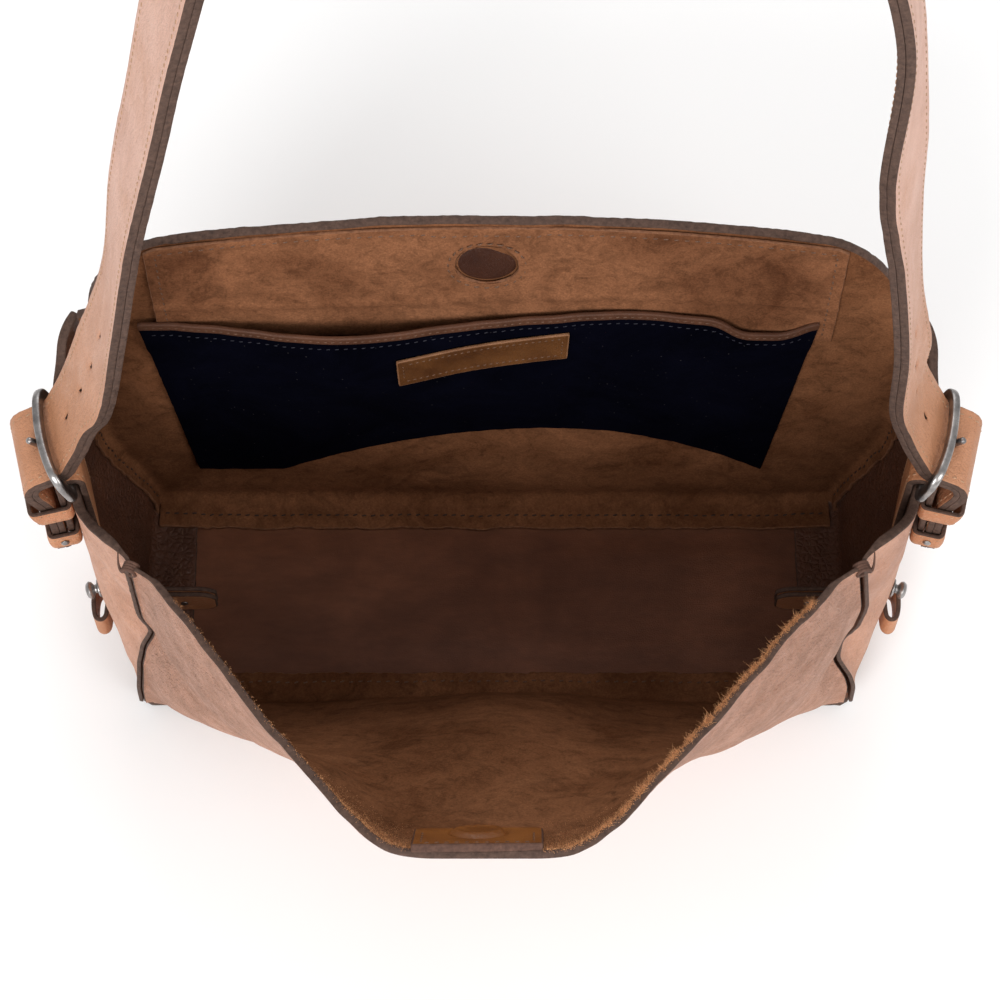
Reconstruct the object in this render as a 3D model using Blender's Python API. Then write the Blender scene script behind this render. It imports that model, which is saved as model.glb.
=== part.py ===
"""Leather shoulder bag with a flat base, soft side gussets, a magnet-closed mouth and a buckled strap.

Frame: X across the bag, -Y to the front, +Z up, origin in the middle of the underside.  Metres.
The mouth is modelled open: the front panel leans out and its rim runs in a V from gusset to gusset.
"""
import math

import bmesh
import bpy
import numpy as np
from mathutils import Vector

# ---- driving dimensions -------------------------------------------------------------------------
GAP = 0.0003                  # clearance between pieces that touch
HIDE = 0.0045                 # thickness of the body leather
HALF_DEPTH = 0.0545           # inner half depth of the base
BASE_HALF_WIDTH = 0.1755      # gusset mid-surface at the base
BODY_HEIGHT = 0.266           # back rim
RIM_CROWN = 0.008             # the back rim falls this much towards its corners
GUSSET_LOW = 0.166            # gusset top edge under the buckle
GUSSET_HIGH = 0.190           # gusset top edge at the front and back seams
BACK_FLANGE = 0.016           # turned-in margins of the panels along the base
FRONT_FLANGE = 0.013
BASE_LAP = 0.0225             # gusset margin turned in over the base
CLOSURE_X = -0.004            # the magnets sit a little left of centre
BACK_BOW = 0.010              # how far the back's rim bows backwards
SLIP = 0.0006                 # play beside a sewn edge
SEAM_CLEAR = 0.0024           # play between a panel's upper edge and the gussets
SEAM_ROOM = 0.0046            # room for the front seam's margins above the base
FOLD_Z = HIDE + GAP + HIDE / 2                      # mid-surface of a margin over the base
LAP_INNER = BASE_HALF_WIDTH - BASE_LAP - 0.0015     # the panels' margins end at the gussets' laps

SIDE_X = 0.194                # gusset mid-surface under the buckle
SIDE_YAW = math.radians(14)   # the gusset's upper part faces a little to the front
SIDE_FLAT = 0.0245            # half length of its straight part
SIDE_CURVE = (9.0, 12.5)      # how fast the gusset turns in beyond it, front and back
GUSSET_BLEND = 0.09           # height over which the gusset changes from base to top plan

MOUTH_RIM_Y = -0.2130         # front rim, middle of the open mouth
MOUTH_RIM_Z = 0.248
MOUTH_CORNER_X = 0.050        # where the straight run of the front rim starts to turn
MOUTH_CORNER_Y = -0.2030
MOUTH_TURN = 0.30             # share of the rim's half that is this straight run
MOUTH_FLAT = 0.6              # share of that width that stays flat behind the tab
MOUTH_BULGE = 0.026           # belly of the front panel between the middle and the seams
MOUTH_FLARE = 0.32            # how much more the middle leans out at its rim than at its foot
FRONT_ROWS = 7                # facets up the front panel; the uppermost is as deep as the tab

FACING = 0.0015               # suede facing and pocket
MAGNET_Z = 0.237
MAGNET_R = 0.0110
MAGNET_T = 0.0020
FACING_HOLE_R = 0.0145
FACING_HALF = 0.153           # half width of the facing
POCKET_X = -0.008             # middle of the slip pocket
POCKET_HALF_WIDTH = 0.140     # at its bottom seam
POCKET_LOW = 0.047            # bottom seam at the pocket's ends; it arches up between them
POCKET_ARCH = 0.044
POCKET_SHARES = (-1.0, -0.9, -0.75, -0.6, -0.45, -0.3, -0.15, 0.0, 0.15, 0.3, 0.45, 0.6, 0.75, 0.84,
                 0.92, 1.0)
LABEL_SLOPE = 0.12            # the label rises to the right on the gaping pocket

TAB_HALF = 0.0265             # the closure tab: half width, depth, thickness, magnet below the rim
TAB_DROP = 0.036
TAB_T = 0.0034
TAB_MAGNET = 0.026

STRAP_WIDTH = 0.038
STRAP_OUTER = 0.0030
STRAP_LINING = 0.0025
PLY_GAP = 0.0008               # the plies part a little where the strap twists
HOLE_LENGTH = 0.010
HOLE_WIDTH = 0.0045
HOLE_PITCH = 0.028
HOLES = 5

CHAPE = 0.0030
CHAPE_WIDTH = 0.036
CHAPE_FOOT = 0.112            # height of the chape's lower ends
KEEPER = 0.0020
KEEPER_PLAY = 0.0018          # the keepers are this much wider than the strap on each side
FIXED_KEEPER = (0.1500, 0.1600)       # heights of the keepers' lower and upper edges
SLIDING_KEEPER = (0.1230, 0.1330)
BAR_R = 0.0024                # buckle wire
PIVOT = (0.00115, 0.1745)     # pivot bar (out from the gusset, up)
FRAME_REACH = 0.0195          # pivot bar to outer bar
FRAME_TILT = math.radians(14)
FRAME_HALF = 0.0235           # half length of the frame's bars
FRAME_ARCH = 0.0030           # the outer bar bows out in the middle
PRONG_R = 0.0016
STRAP_HINGE_Z = 0.200         # the strap swings about the tops of the buckles

STUD_Y = -0.024               # button stud on each gusset
STUD_Z = 0.076
STUD_HOLE_R = 0.0022
LOOP_Y = -0.020               # leather loop through each gusset
LOOP_Z = 0.052
LOOP_HALF_WIDTH = 0.008
LOOP_T = 0.0022
RIVET_INSETS = (-0.016, -0.032)       # the loop's two rivets, inwards from the gusset
MOUTH_PIVOT = (0.0, -HALF_DEPTH, HIDE)

LEATHER = (0.56, 0.29, 0.17)
LEATHER_PALE = (0.70, 0.42, 0.30)
FLESH = (0.22, 0.10, 0.05)
BASE_BROWN = (0.06, 0.022, 0.012)
NAVY = (0.004, 0.005, 0.012)
LABEL_BROWN = (0.20, 0.09, 0.025)
METAL = (0.16, 0.145, 0.14)


# ---- small tools --------------------------------------------------------------------------------
def material(name, colour, roughness, metallic=0.0):
    mat = bpy.data.materials.get(name) or bpy.data.materials.new(name)
    mat.use_nodes = True
    shader = mat.node_tree.nodes["Principled BSDF"]
    shader.inputs["Base Color"].default_value = (*colour, 1.0)
    shader.inputs["Roughness"].default_value = roughness
    shader.inputs["Metallic"].default_value = metallic
    return mat


def add_object(name, verts, faces, mat, smooth=False, pivot=None):
    """One closed body; `pivot` moves the object's origin without moving its shape."""
    origin = Vector(pivot) if pivot is not None else Vector((0.0, 0.0, 0.0))
    mesh = bpy.data.meshes.new(name)
    mesh.from_pydata([tuple(Vector(v) - origin) for v in verts], [], faces)
    bm = bmesh.new()
    bm.from_mesh(mesh)
    bmesh.ops.recalc_face_normals(bm, faces=bm.faces[:])
    bm.to_mesh(mesh)
    bm.free()
    if smooth:
        mesh.shade_smooth()
        mesh.set_sharp_from_angle(angle=math.radians(40))
    obj = bpy.data.objects.new(name, mesh)
    obj.location = origin
    bpy.context.scene.collection.objects.link(obj)
    mesh.materials.append(mat)
    return obj


def thicken(points, faces, thickness):
    """Turns an open sheet into a closed one of even thickness, mitred at its folds."""
    points = np.array(points, float)
    normals = [[] for _ in points]
    for face in faces:
        a, b, c = (points[face[i]] for i in (0, 1, 2))
        normal = np.cross(b - a, c - a)
        if len(face) == 4:
            normal = np.cross(c - a, points[face[3]] - b)
        normal = normal / np.linalg.norm(normal)
        for index in face:
            normals[index].append(normal)
    half = thickness / 2
    offsets = np.zeros_like(points)
    for i, rows in enumerate(normals):
        if rows:
            offsets[i] = np.linalg.lstsq(np.array(rows), np.ones(len(rows)), rcond=0.2)[0] * half
    used = sorted({i for face in faces for i in face})
    place = {index: k for k, index in enumerate(used)}
    count = len(used)
    verts = [points[i] + offsets[i] for i in used] + [points[i] - offsets[i] for i in used]
    solid = [[place[i] for i in face] for face in faces]
    solid += [[place[i] + count for i in reversed(face)] for face in faces]
    edges = {}
    for face in faces:
        for a, b in zip(face, list(face[1:]) + [face[0]]):
            edges[(a, b)] = True
    for a, b in edges:
        if (b, a) not in edges:
            solid.append([place[b], place[a], place[a] + count, place[b] + count])
    return verts, solid


def grid_faces(rows, columns, skip=None, closed=False):
    """Quads over a grid of rows x columns points, leaving out the cells that skip(i, j) names."""
    faces = []
    for i in range(rows if closed else rows - 1):
        below = (i + 1) % rows
        for j in range(columns - 1):
            if skip is None or not skip(i, j):
                faces.append([i * columns + j, i * columns + j + 1,
                              below * columns + j + 1, below * columns + j])
    return faces


def sheet(name, grid, thickness, mat, skip=None, closed=False, pivot=None, smooth=True):
    rows, columns = len(grid), len(grid[0])
    faces = grid_faces(rows, columns, skip, closed)
    verts, solid = thicken([p for row in grid for p in row], faces, thickness)
    return add_object(name, verts, solid, mat, smooth, pivot)


def smoothstep(value):
    value = min(max(value, 0.0), 1.0)
    return value * value * (3.0 - 2.0 * value)


def spline(points, per_segment=14):
    """Catmull-Rom curve through points of any dimension, as a dense list."""
    pts = [np.array(p, float) for p in points]
    pts = [2 * pts[0] - pts[1]] + pts + [2 * pts[-1] - pts[-2]]
    dense = []
    for p0, p1, p2, p3 in zip(pts, pts[1:], pts[2:], pts[3:]):
        for k in range(per_segment):
            t = k / per_segment
            dense.append(0.5 * (2 * p1 + (p2 - p0) * t + (2 * p0 - 5 * p1 + 4 * p2 - p3) * t * t
                                + (3 * p1 - p0 - 3 * p2 + p3) * t ** 3))
    dense.append(pts[-2])
    return np.array(dense)


def lathe(name, profile, origin, axis, mat, sides=16, pivot=None):
    """A turned solid: profile is (height, radius) from one end of the axis to the other."""
    axis = Vector(axis).normalized()
    across = axis.orthogonal().normalized()
    third = axis.cross(across)
    verts, faces, rings = [], [], []
    for height, radius in profile:
        centre = Vector(origin) + axis * height
        if radius == 0.0:
            rings.append([len(verts)])
            verts.append(centre)
            continue
        ring = []
        for k in range(sides):
            angle = math.tau * k / sides
            ring.append(len(verts))
            verts.append(centre + (across * math.cos(angle) + third * math.sin(angle)) * radius)
        rings.append(ring)
    for low, high in zip(rings, rings[1:]):
        for k in range(sides):
            m = (k + 1) % sides
            if len(low) == 1:
                faces.append([low[0], high[m], high[k]])
            elif len(high) == 1:
                faces.append([low[k], low[m], high[0]])
            else:
                faces.append([low[k], low[m], high[m], high[k]])
    return add_object(name, verts, faces, mat, True, pivot)


def cut(target, cutter):
    """Takes the cutter out of the target; the cutter is only a guide."""
    cutter.hide_render = True
    cutter.display_type = "WIRE"
    modifier = target.modifiers.new("cut_" + cutter.name, "BOOLEAN")
    modifier.operation = "DIFFERENCE"
    modifier.solver = "EXACT"
    modifier.object = cutter


# ---- the bag's surfaces -------------------------------------------------------------------------
def side_x(y, z):
    """Distance of the gusset's mid-surface from the middle of the bag."""
    beyond = max(0.0, abs(y) - SIDE_FLAT)
    top = SIDE_X + math.tan(SIDE_YAW) * y - SIDE_CURVE[y > 0] * beyond ** 2
    return BASE_HALF_WIDTH + (top - BASE_HALF_WIDTH) * smoothstep(z / GUSSET_BLEND)


def gusset_top(y):
    rise = smoothstep((abs(y) - 0.022) / 0.036)
    return GUSSET_LOW + (GUSSET_HIGH - GUSSET_LOW) * rise


def back_y(x, z):
    """Mid-surface of the back panel: it bows back a little towards the rim."""
    across = max(0.0, 1.0 - (x / 0.18) ** 2)
    return HALF_DEPTH + HIDE / 2 + BACK_BOW * across * (z / BODY_HEIGHT) ** 2


def crowned(x, z):
    """Height on the back panel, allowing for the fall of its rim."""
    return z - RIM_CROWN * (x / 0.155) ** 2 * smoothstep((z - GUSSET_HIGH) / (BODY_HEIGHT - GUSSET_HIGH))


def back_half_width(z):
    """Half width of the back panel: it fills the gap between the gussets, then rounds off above."""
    inner = side_x(HALF_DEPTH + HIDE / 2, min(z, GUSSET_HIGH)) - HIDE / 2 - GAP - SEAM_CLEAR
    radius = BODY_HEIGHT - GUSSET_HIGH - 0.012
    above = z - (BODY_HEIGHT - radius)
    if above <= 0.0:
        return inner
    return inner - 0.006 - (radius * 0.62) * (1.0 - math.sqrt(max(0.0, 1.0 - (above / radius) ** 2)))


def seam_y(z):
    """Front seam: it leans forward as it rises."""
    return -(HALF_DEPTH + HIDE / 2) - 0.004 * min(z / GUSSET_HIGH, 1.0)


def rim_point(u):
    """Front rim of the open mouth, u from -1 (left seam) to 1 (right seam)."""
    side = -1.0 if u < 0 else 1.0
    seam = np.array([side * (side_x(seam_y(GUSSET_HIGH), GUSSET_HIGH) - HIDE / 2 - GAP - SEAM_CLEAR),
                     seam_y(GUSSET_HIGH), GUSSET_HIGH])
    corner = np.array([CLOSURE_X + side * MOUTH_CORNER_X, MOUTH_CORNER_Y, MOUTH_RIM_Z - 0.002])
    middle = np.array([CLOSURE_X, MOUTH_RIM_Y, MOUTH_RIM_Z])
    if abs(u) >= MOUTH_TURN:
        run = (1.0 - abs(u)) / (1.0 - MOUTH_TURN)
        return seam + (corner - seam) * run
    across = abs(u) / MOUTH_TURN
    point = middle + (corner - middle) * across
    bend = max(0.0, across - MOUTH_FLAT) / (1.0 - MOUTH_FLAT)
    point[1:] = middle[1:] + (corner[1:] - middle[1:]) * bend ** 1.4
    return point


def front_point(u, t):
    """Mid-surface of the front panel: u across, t from the base fold (0) to the rim (1)."""
    base = np.array([u * (BASE_HALF_WIDTH - HIDE / 2 - GAP - SLIP), -(HALF_DEPTH + HIDE / 2), FOLD_Z])
    rim = rim_point(u)
    flare = 1.0 + MOUTH_FLARE * (1.0 - u ** 2)
    point = base + (rim - base) * np.array([t, t ** flare, t])
    z = base[2] + (GUSSET_HIGH - base[2]) * t
    clear = HIDE / 2 + GAP + SLIP + SEAM_ROOM * min(1.0, 4.0 * t)
    seam = np.array([side_x(seam_y(z), z) - clear, seam_y(z), z])
    straight = np.array([BASE_HALF_WIDTH - HIDE / 2 - GAP - SLIP, base[1], base[2]])
    straight += (rim_point(1.0) - straight) * t
    shift = (seam - straight) * abs(u) ** 10
    point += shift * np.array([math.copysign(1.0, u), 1.0, 1.0])
    point[1] -= MOUTH_BULGE * 4.0 * t * (1.0 - t) * 4.0 * u ** 2 * (1.0 - u ** 2)
    return point


def on_side(side, n, b, k):
    """World point beside a gusset: n out from its mid-surface, b along it to the back, k up."""
    x = SIDE_X + n * math.cos(SIDE_YAW) + b * math.sin(SIDE_YAW)
    return np.array([side * x, -n * math.sin(SIDE_YAW) + b * math.cos(SIDE_YAW), k])


def side_axis(side):
    """Direction of the buckle's bars, to the back."""
    return np.array([side * math.sin(SIDE_YAW), math.cos(SIDE_YAW), 0.0])


def ribbon(name, path, along, offsets, shift, thickness, mat, skip=None, closed=False, pivot=None):
    """A strip that follows a path; `along` gives its width direction at each point."""
    path = np.array(path, float)
    along = np.array(along, float)
    count = len(path)
    grid = []
    for i in range(count):
        before = path[(i - 1) % count] if closed or i > 0 else path[i]
        after = path[(i + 1) % count] if closed or i < count - 1 else path[i]
        normal = np.cross(after - before, along[i])
        normal = normal / np.linalg.norm(normal)
        grid.append([path[i] + along[i] * offset + normal * shift for offset in offsets])
    return sheet(name, grid, thickness, mat, skip, closed, pivot)


# ---- body ---------------------------------------------------------------------------------------
def build_base(mat):
    half_x = BASE_HALF_WIDTH + HIDE / 2
    half_y = HALF_DEPTH + HIDE
    xs = np.linspace(-half_x, half_x, 9)
    grid = [[(x, y, HIDE / 2) for y in (-half_y, 0.0, half_y)] for x in xs]
    return sheet("bottom_panel", grid, HIDE, mat, smooth=False)


def build_gusset(side, mat):
    name = "gusset_left" if side < 0 else "gusset_right"
    end_y = HALF_DEPTH + HIDE + 0.004
    flap_y = HALF_DEPTH - 0.001
    columns = [-end_y, -flap_y, -0.040, -0.024, -0.012, 0.0, 0.012, 0.024, 0.040, flap_y, end_y]
    heights = [FOLD_Z, 0.022, 0.040, 0.058, 0.076, 0.094, 0.120, 0.144]
    rows = [[(side * (BASE_HALF_WIDTH - BASE_LAP), y, FOLD_Z) for y in columns]]
    for z in heights:
        rows.append([(side * side_x(y, z), y, z) for y in columns])
    rows.append([(side * side_x(y, gusset_top(y)), y, gusset_top(y)) for y in columns])
    last = len(columns) - 2

    def skip(i, j):
        return i == 0 and j in (0, last)

    gusset = sheet(name, rows, HIDE, mat, skip)
    stud = on_gusset(side, STUD_Y, STUD_Z)
    drill = [(-0.01, 0.0), (-0.01, STUD_HOLE_R), (0.01, STUD_HOLE_R), (0.01, 0.0)]
    hole = lathe(name + "_stud_cutter", drill, stud[0], stud[1], mat, 12)
    slot = box_cutter(name + "_slot_cutter", side)
    cut(gusset, hole)
    cut(gusset, slot)
    return gusset


def on_gusset(side, y, z):
    """Point and outward normal of the gusset's mid-surface."""
    step = 0.001
    dy = (side_x(y + step, z) - side_x(y - step, z)) / (2 * step)
    dz = (side_x(y, z + step) - side_x(y, z - step)) / (2 * step)
    normal = Vector((side, -dy, -dz)).normalized()
    return Vector((side * side_x(y, z), y, z)), normal


def box_cutter(name, side):
    """The slot in the gusset that the side loop passes through."""
    centre, _ = on_gusset(side, LOOP_Y, LOOP_Z)
    half = Vector((0.02, LOOP_T + 0.0022, LOOP_HALF_WIDTH + 0.0012))
    verts = [centre + Vector((half.x * i, half.y * j, half.z * k))
             for i in (-1, 1) for j in (-1, 1) for k in (-1, 1)]
    faces = [[0, 1, 3, 2], [4, 6, 7, 5], [0, 4, 5, 1], [2, 3, 7, 6], [0, 2, 6, 4], [1, 5, 7, 3]]
    return add_object(name, verts, faces, material("guide", METAL, 0.5))


def build_back_panel(mat):
    heights = [FOLD_Z, 0.03, 0.06, 0.09, 0.13, 0.165, 0.190, 0.2005, 0.212, 0.223, 0.233, 0.243, 0.252,
               0.260, BODY_HEIGHT]
    shares = np.array([-1.0, -0.87, -0.6, -0.3, 0.0, 0.3, 0.6, 0.87, 1.0])
    rows = [[(x, HALF_DEPTH - BACK_FLANGE, FOLD_Z) for x in base_columns(shares)]]
    for z in heights:
        xs = shares * back_half_width(z)
        if z == FOLD_Z:
            xs = base_columns(shares)
            xs[0], xs[-1] = -back_half_width(z), back_half_width(z)
        rows.append([(x, back_y(x, z) if z > FOLD_Z else HALF_DEPTH + HIDE / 2, crowned(x, z)) for x in xs])
    last = len(shares) - 2

    def skip(i, j):
        return i == 0 and j in (0, last)

    panel = sheet("back_panel", rows, HIDE, mat, skip)
    recess = disc_on_back("magnet_recess_cutter", MAGNET_R + GAP, -MAGNET_T - 3 * GAP, 0.004, mat)
    cut(panel, recess)
    return panel


def base_columns(shares):
    """Columns along the base: the last but one lies just inside the gusset's lap."""
    xs = shares * (LAP_INNER / abs(shares[1]))
    xs[0] = -LAP_INNER - 0.004
    xs[-1] = LAP_INNER + 0.004
    return xs


def build_front_panel(mat):
    outer = BASE_HALF_WIDTH - HIDE / 2 - GAP - SLIP
    us = [-1.0, -LAP_INNER / outer, -0.72, -0.55, -0.40, -0.30, -0.18, 0.0,
          0.18, 0.30, 0.40, 0.55, 0.72, LAP_INNER / outer, 1.0]
    rows = [[(u * outer, -(HALF_DEPTH - FRONT_FLANGE), FOLD_Z) for u in us]]
    for t in np.linspace(0.0, 1.0, FRONT_ROWS + 1):
        rows.append([front_point(u, t) for u in us])
    last = len(us) - 2

    def skip(i, j):
        return i == 0 and j in (0, last)

    return sheet("front_panel", rows, HIDE, mat, skip)


def build_facing(mat):
    """Suede strip inside the back rim, with the round window of the magnet."""
    half = FACING_HALF
    rows = []
    for z in (0.180, 0.200, 0.222, 0.244, BODY_HEIGHT - 0.0012):
        columns = np.linspace(-half, half, 11)
        if z > 0.25:
            columns = columns * ((back_half_width(z) - 0.004) / half)
        rows.append([(x, back_y(x, z) - HIDE / 2 - GAP - FACING / 2, crowned(x, z)) for x in columns])
    facing = sheet("back_facing", rows, FACING, mat)
    window = disc_on_back("facing_window_cutter", FACING_HOLE_R, -0.001, 0.006, mat)
    cut(facing, window)
    return facing


def disc_on_back(name, radius, low, high, mat):
    """A flat disc parallel to the back panel at the closure; low..high is its depth range."""
    step = 0.001
    slope = (back_y(CLOSURE_X, MAGNET_Z + step) - back_y(CLOSURE_X, MAGNET_Z - step)) / (2 * step)
    axis = Vector((0.0, -1.0, slope))
    face = (CLOSURE_X, back_y(CLOSURE_X, MAGNET_Z) - HIDE / 2, MAGNET_Z)
    return lathe(name, [(low, 0.0), (low, radius), (high, radius), (high, 0.0)], face, axis, mat, 24)


def pocket_gape(x):
    """How far the slip pocket's mouth stands off: it gapes left of the middle."""
    return 0.0030 + 0.0095 * math.exp(-((x + 0.070) / 0.050) ** 2)


def pocket_top(x):
    scoop = 0.007 * math.exp(-((x - 0.122) / 0.014) ** 2)
    return 0.194 + 0.006 * math.exp(-((x - 0.055) / 0.045) ** 2) - scoop


def pocket_point(x_share, t, lift=0.0):
    """The pocket's mid-surface: t from its bottom seam to its mouth."""
    half = POCKET_HALF_WIDTH + 0.0135 * t
    x = POCKET_X + x_share * half
    spread = 0.95 if x_share < 0.25 else 0.75
    low = POCKET_LOW + POCKET_ARCH * max(0.0, 1.0 - ((x_share - 0.25) / spread) ** 2)
    z = low + (pocket_top(x) - low) * t + lift
    stand = pocket_gape(x) * smoothstep(t * 1.15) * (1.0 - abs(x_share) ** 6)
    over_facing = (FACING + GAP) * smoothstep((z - 0.166) / 0.010)
    y = back_y(x, z) - HIDE / 2 - GAP - FACING / 2 - max(stand, over_facing)
    return (x, y, z)


def build_pocket(mat, trim_mat, label_mat):
    rows = [[pocket_point(s, t) for s in POCKET_SHARES] for t in np.linspace(0.0, 1.0, 8)]
    sheet("pocket_panel", rows, FACING * 0.8, mat)
    trim = [[pocket_point(s, 1.0, lift) for s in POCKET_SHARES] for lift in (GAP * 2, 0.0035)]
    sheet("pocket_edge_trim", trim, FACING * 0.9, trim_mat)
    rows = []
    for t in (0.69, 0.79, 0.90):
        row = []
        for s in np.linspace(-0.275, 0.255, 7):
            x, y, z = pocket_point(s, t + LABEL_SLOPE * s)
            row.append((x, y - FACING * 0.4 - GAP * 2 - 0.00075, z))
        rows.append(row)
    sheet("label_patch", rows, 0.0012, label_mat)


def build_closure(leather, cover, metal):
    disc_on_back("back_magnet", MAGNET_R, -MAGNET_T - GAP, -GAP, metal)
    disc_on_back("back_magnet_cover", FACING_HOLE_R - 0.0006, GAP, FACING, cover)
    frame = mouth_frame()
    near = HIDE / 2 + GAP
    rows = []
    for down in (0.0015, TAB_DROP * 0.5, TAB_DROP):
        rows.append([frame(x, down, near + TAB_T / 2) for x in np.linspace(-TAB_HALF, TAB_HALF, 5)])
    tab = sheet("front_tab", rows, TAB_T, leather, pivot=MOUTH_PIVOT)
    centre = Vector(frame(0.0, TAB_MAGNET, near))
    axis = Vector(frame(0.0, TAB_MAGNET, near + 0.01)) - centre
    recess = lathe("tab_recess_cutter", [(-0.004, 0.0), (-0.004, MAGNET_R + GAP),
                                         (MAGNET_T + GAP, MAGNET_R + GAP), (MAGNET_T + GAP, 0.0)],
                   centre, axis, metal, 24)
    cut(tab, recess)
    lathe("front_magnet", [(GAP, 0.0), (GAP, MAGNET_R), (MAGNET_T, MAGNET_R), (MAGNET_T, 0.0)],
          centre, axis, metal, 24, MOUTH_PIVOT)


def mouth_frame():
    """Coordinates on the inside of the front rim: x across, down from the rim, out from its middle."""
    top = front_point(0.0, 1.0)
    below = front_point(0.0, 1.0 - 1.0 / FRONT_ROWS)
    down_dir = (below - top) / np.linalg.norm(below - top)
    out_dir = np.cross(down_dir, np.array([-1.0, 0.0, 0.0]))

    def place(x, down, out):
        return tuple(top + np.array([x, 0.0, 0.0]) + down_dir * down + out_dir * out)

    return place


# ---- strap attachment ---------------------------------------------------------------------------
def build_chape(side, mat):
    name = "left_chape" if side < 0 else "right_chape"
    inner = -(HIDE / 2 + GAP + CHAPE / 2)
    outer = HIDE / 2 + GAP + KEEPER + 2 * GAP + CHAPE / 2
    middle, radius = (inner + outer) / 2, (outer - inner) / 2
    profile = [(inner, k) for k in (CHAPE_FOOT, 0.130, 0.150, 0.166)]
    first = len(profile)
    for step in range(9):
        angle = math.pi * (1.0 - step / 8)
        profile.append((middle + radius * math.cos(angle), PIVOT[1] + radius * math.sin(angle)))
    profile += [(outer, k) for k in (0.166, 0.150, 0.130, CHAPE_FOOT)]
    path = [on_side(side, n, 0.0, k) for n, k in profile]
    along = [side_axis(side)] * len(path)
    half = CHAPE_WIDTH / 2

    def slot(i, j):
        return j == 1 and first - 1 <= i <= first + 8

    return ribbon(name, path, along, [-half, -0.0036, 0.0036, half], 0.0, CHAPE, mat, slot)


def frame_outer_bar():
    return (PIVOT[0] + FRAME_REACH * math.sin(FRAME_TILT), PIVOT[1] + FRAME_REACH * math.cos(FRAME_TILT))


def build_frame(side, mat):
    """Closed wire frame: pivot bar, two short sides and the outer bar, with rounded corners."""
    name = "left_buckle_frame" if side < 0 else "right_buckle_frame"
    corner = 0.0065
    loop = []
    for cb, cr, start in ((FRAME_HALF - corner, FRAME_REACH - corner, 0),
                          (-(FRAME_HALF - corner), FRAME_REACH - corner, 90),
                          (-(FRAME_HALF - 0.003), 0.003, 180), (FRAME_HALF - 0.003, 0.003, 270)):
        radius = corner if start < 180 else 0.003
        for step in range(5):
            angle = math.radians(start + 90 * step / 4)
            loop.append((cb + radius * math.cos(angle), cr + radius * math.sin(angle)))
    count = len(loop)
    centres = []
    for b, reach in loop:
        arch = FRAME_ARCH * (1.0 - (b / FRAME_HALF) ** 2) * max(0.0, reach / FRAME_REACH) ** 2
        n = PIVOT[0] + reach * math.sin(FRAME_TILT) + arch * math.cos(FRAME_TILT)
        k = PIVOT[1] + reach * math.cos(FRAME_TILT) - arch * math.sin(FRAME_TILT)
        centres.append(Vector(on_side(side, n, b, k)))
    sides = 8
    flat = Vector(on_side(side, math.cos(FRAME_TILT), 0, -math.sin(FRAME_TILT))
                  - on_side(side, 0, 0, 0)).normalized()
    verts, faces = [], []
    for i in range(count):
        tangent = (centres[(i + 1) % count] - centres[i - 1]).normalized()
        across = tangent.cross(flat).normalized()
        for m in range(sides):
            angle = math.tau * (m + 0.5) / sides
            verts.append(centres[i] + (flat * math.cos(angle) + across * math.sin(angle)) * BAR_R)
    for i in range(count):
        for m in range(sides):
            a, b = i * sides + m, i * sides + (m + 1) % sides
            c, d = (i + 1) % count * sides + (m + 1) % sides, (i + 1) % count * sides + m
            faces.append([a, b, c, d])
    return add_object(name, verts, faces, mat, True, on_side(side, PIVOT[0], 0.0, PIVOT[1]))


def prong_aim():
    """Direction and length of the tongue: from the pivot bar to just outside the outer bar."""
    tip_n, tip_k = frame_outer_bar()
    clear = BAR_R + PRONG_R + FRAME_ARCH + 0.0008
    reach = Vector((tip_n + clear * math.cos(FRAME_TILT) - PIVOT[0],
                    tip_k - clear * math.sin(FRAME_TILT) - PIVOT[1]))
    return reach.normalized(), reach.length + 0.0035


def build_prong(side, mat):
    """A ring round the pivot bar that runs out into the tongue, through the strap, past the outer bar."""
    name = "left_prong" if side < 0 else "right_prong"
    inner, outer = BAR_R + 0.0006, BAR_R + 0.0020
    aim, length = prong_aim()
    turn = math.atan2(aim.y, aim.x)
    outline = []
    open_half = math.asin(PRONG_R / outer)
    steps = 14
    for step in range(steps + 1):
        angle = turn + open_half + (math.tau - 2 * open_half) * step / steps
        outline.append((math.cos(angle), math.sin(angle)))
    verts, faces = [], []
    half_b = 0.0020
    sidewise = Vector((-aim.y, aim.x))
    for b in (-half_b, half_b):
        for c, s in outline:
            verts.append(on_side(side, PIVOT[0] + outer * c, b, PIVOT[1] + outer * s))
        for across in (-1, 1):
            taper = 0.8
            n = PIVOT[0] + aim.x * length + sidewise.x * across * PRONG_R * taper
            k = PIVOT[1] + aim.y * length + sidewise.y * across * PRONG_R * taper
            verts.append(on_side(side, n, b, k))
    ring = len(outline) + 2
    low = list(range(ring))
    high = [i + ring for i in low]
    for i in range(ring):
        j = (i + 1) % ring
        faces.append([low[i], low[j], high[j], high[i]])
    faces += [low[::-1], high]
    prong = add_object(name, verts, faces, mat, False, on_side(side, PIVOT[0], 0.0, PIVOT[1]))
    bore = lathe(name + "_bore_cutter", [(-0.01, 0.0), (-0.01, inner), (0.01, inner), (0.01, 0.0)],
                 on_side(side, PIVOT[0], 0.0, PIVOT[1]), side_axis(side), mat, 16)
    cut(prong, bore)
    return prong


def rounded_ring(n_low, n_high, half, radius, per_corner=4):
    """Rounded rectangle in the (out, along) plane, anticlockwise."""
    points = []
    for cn, cb, start in ((n_high - radius, half - radius, 0), (n_low + radius, half - radius, 90),
                          (n_low + radius, -half + radius, 180), (n_high - radius, -half + radius, 270)):
        for step in range(per_corner + 1):
            angle = math.radians(start + 90 * step / per_corner)
            points.append((cn + radius * math.cos(angle), cb + radius * math.sin(angle)))
    return points


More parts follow.
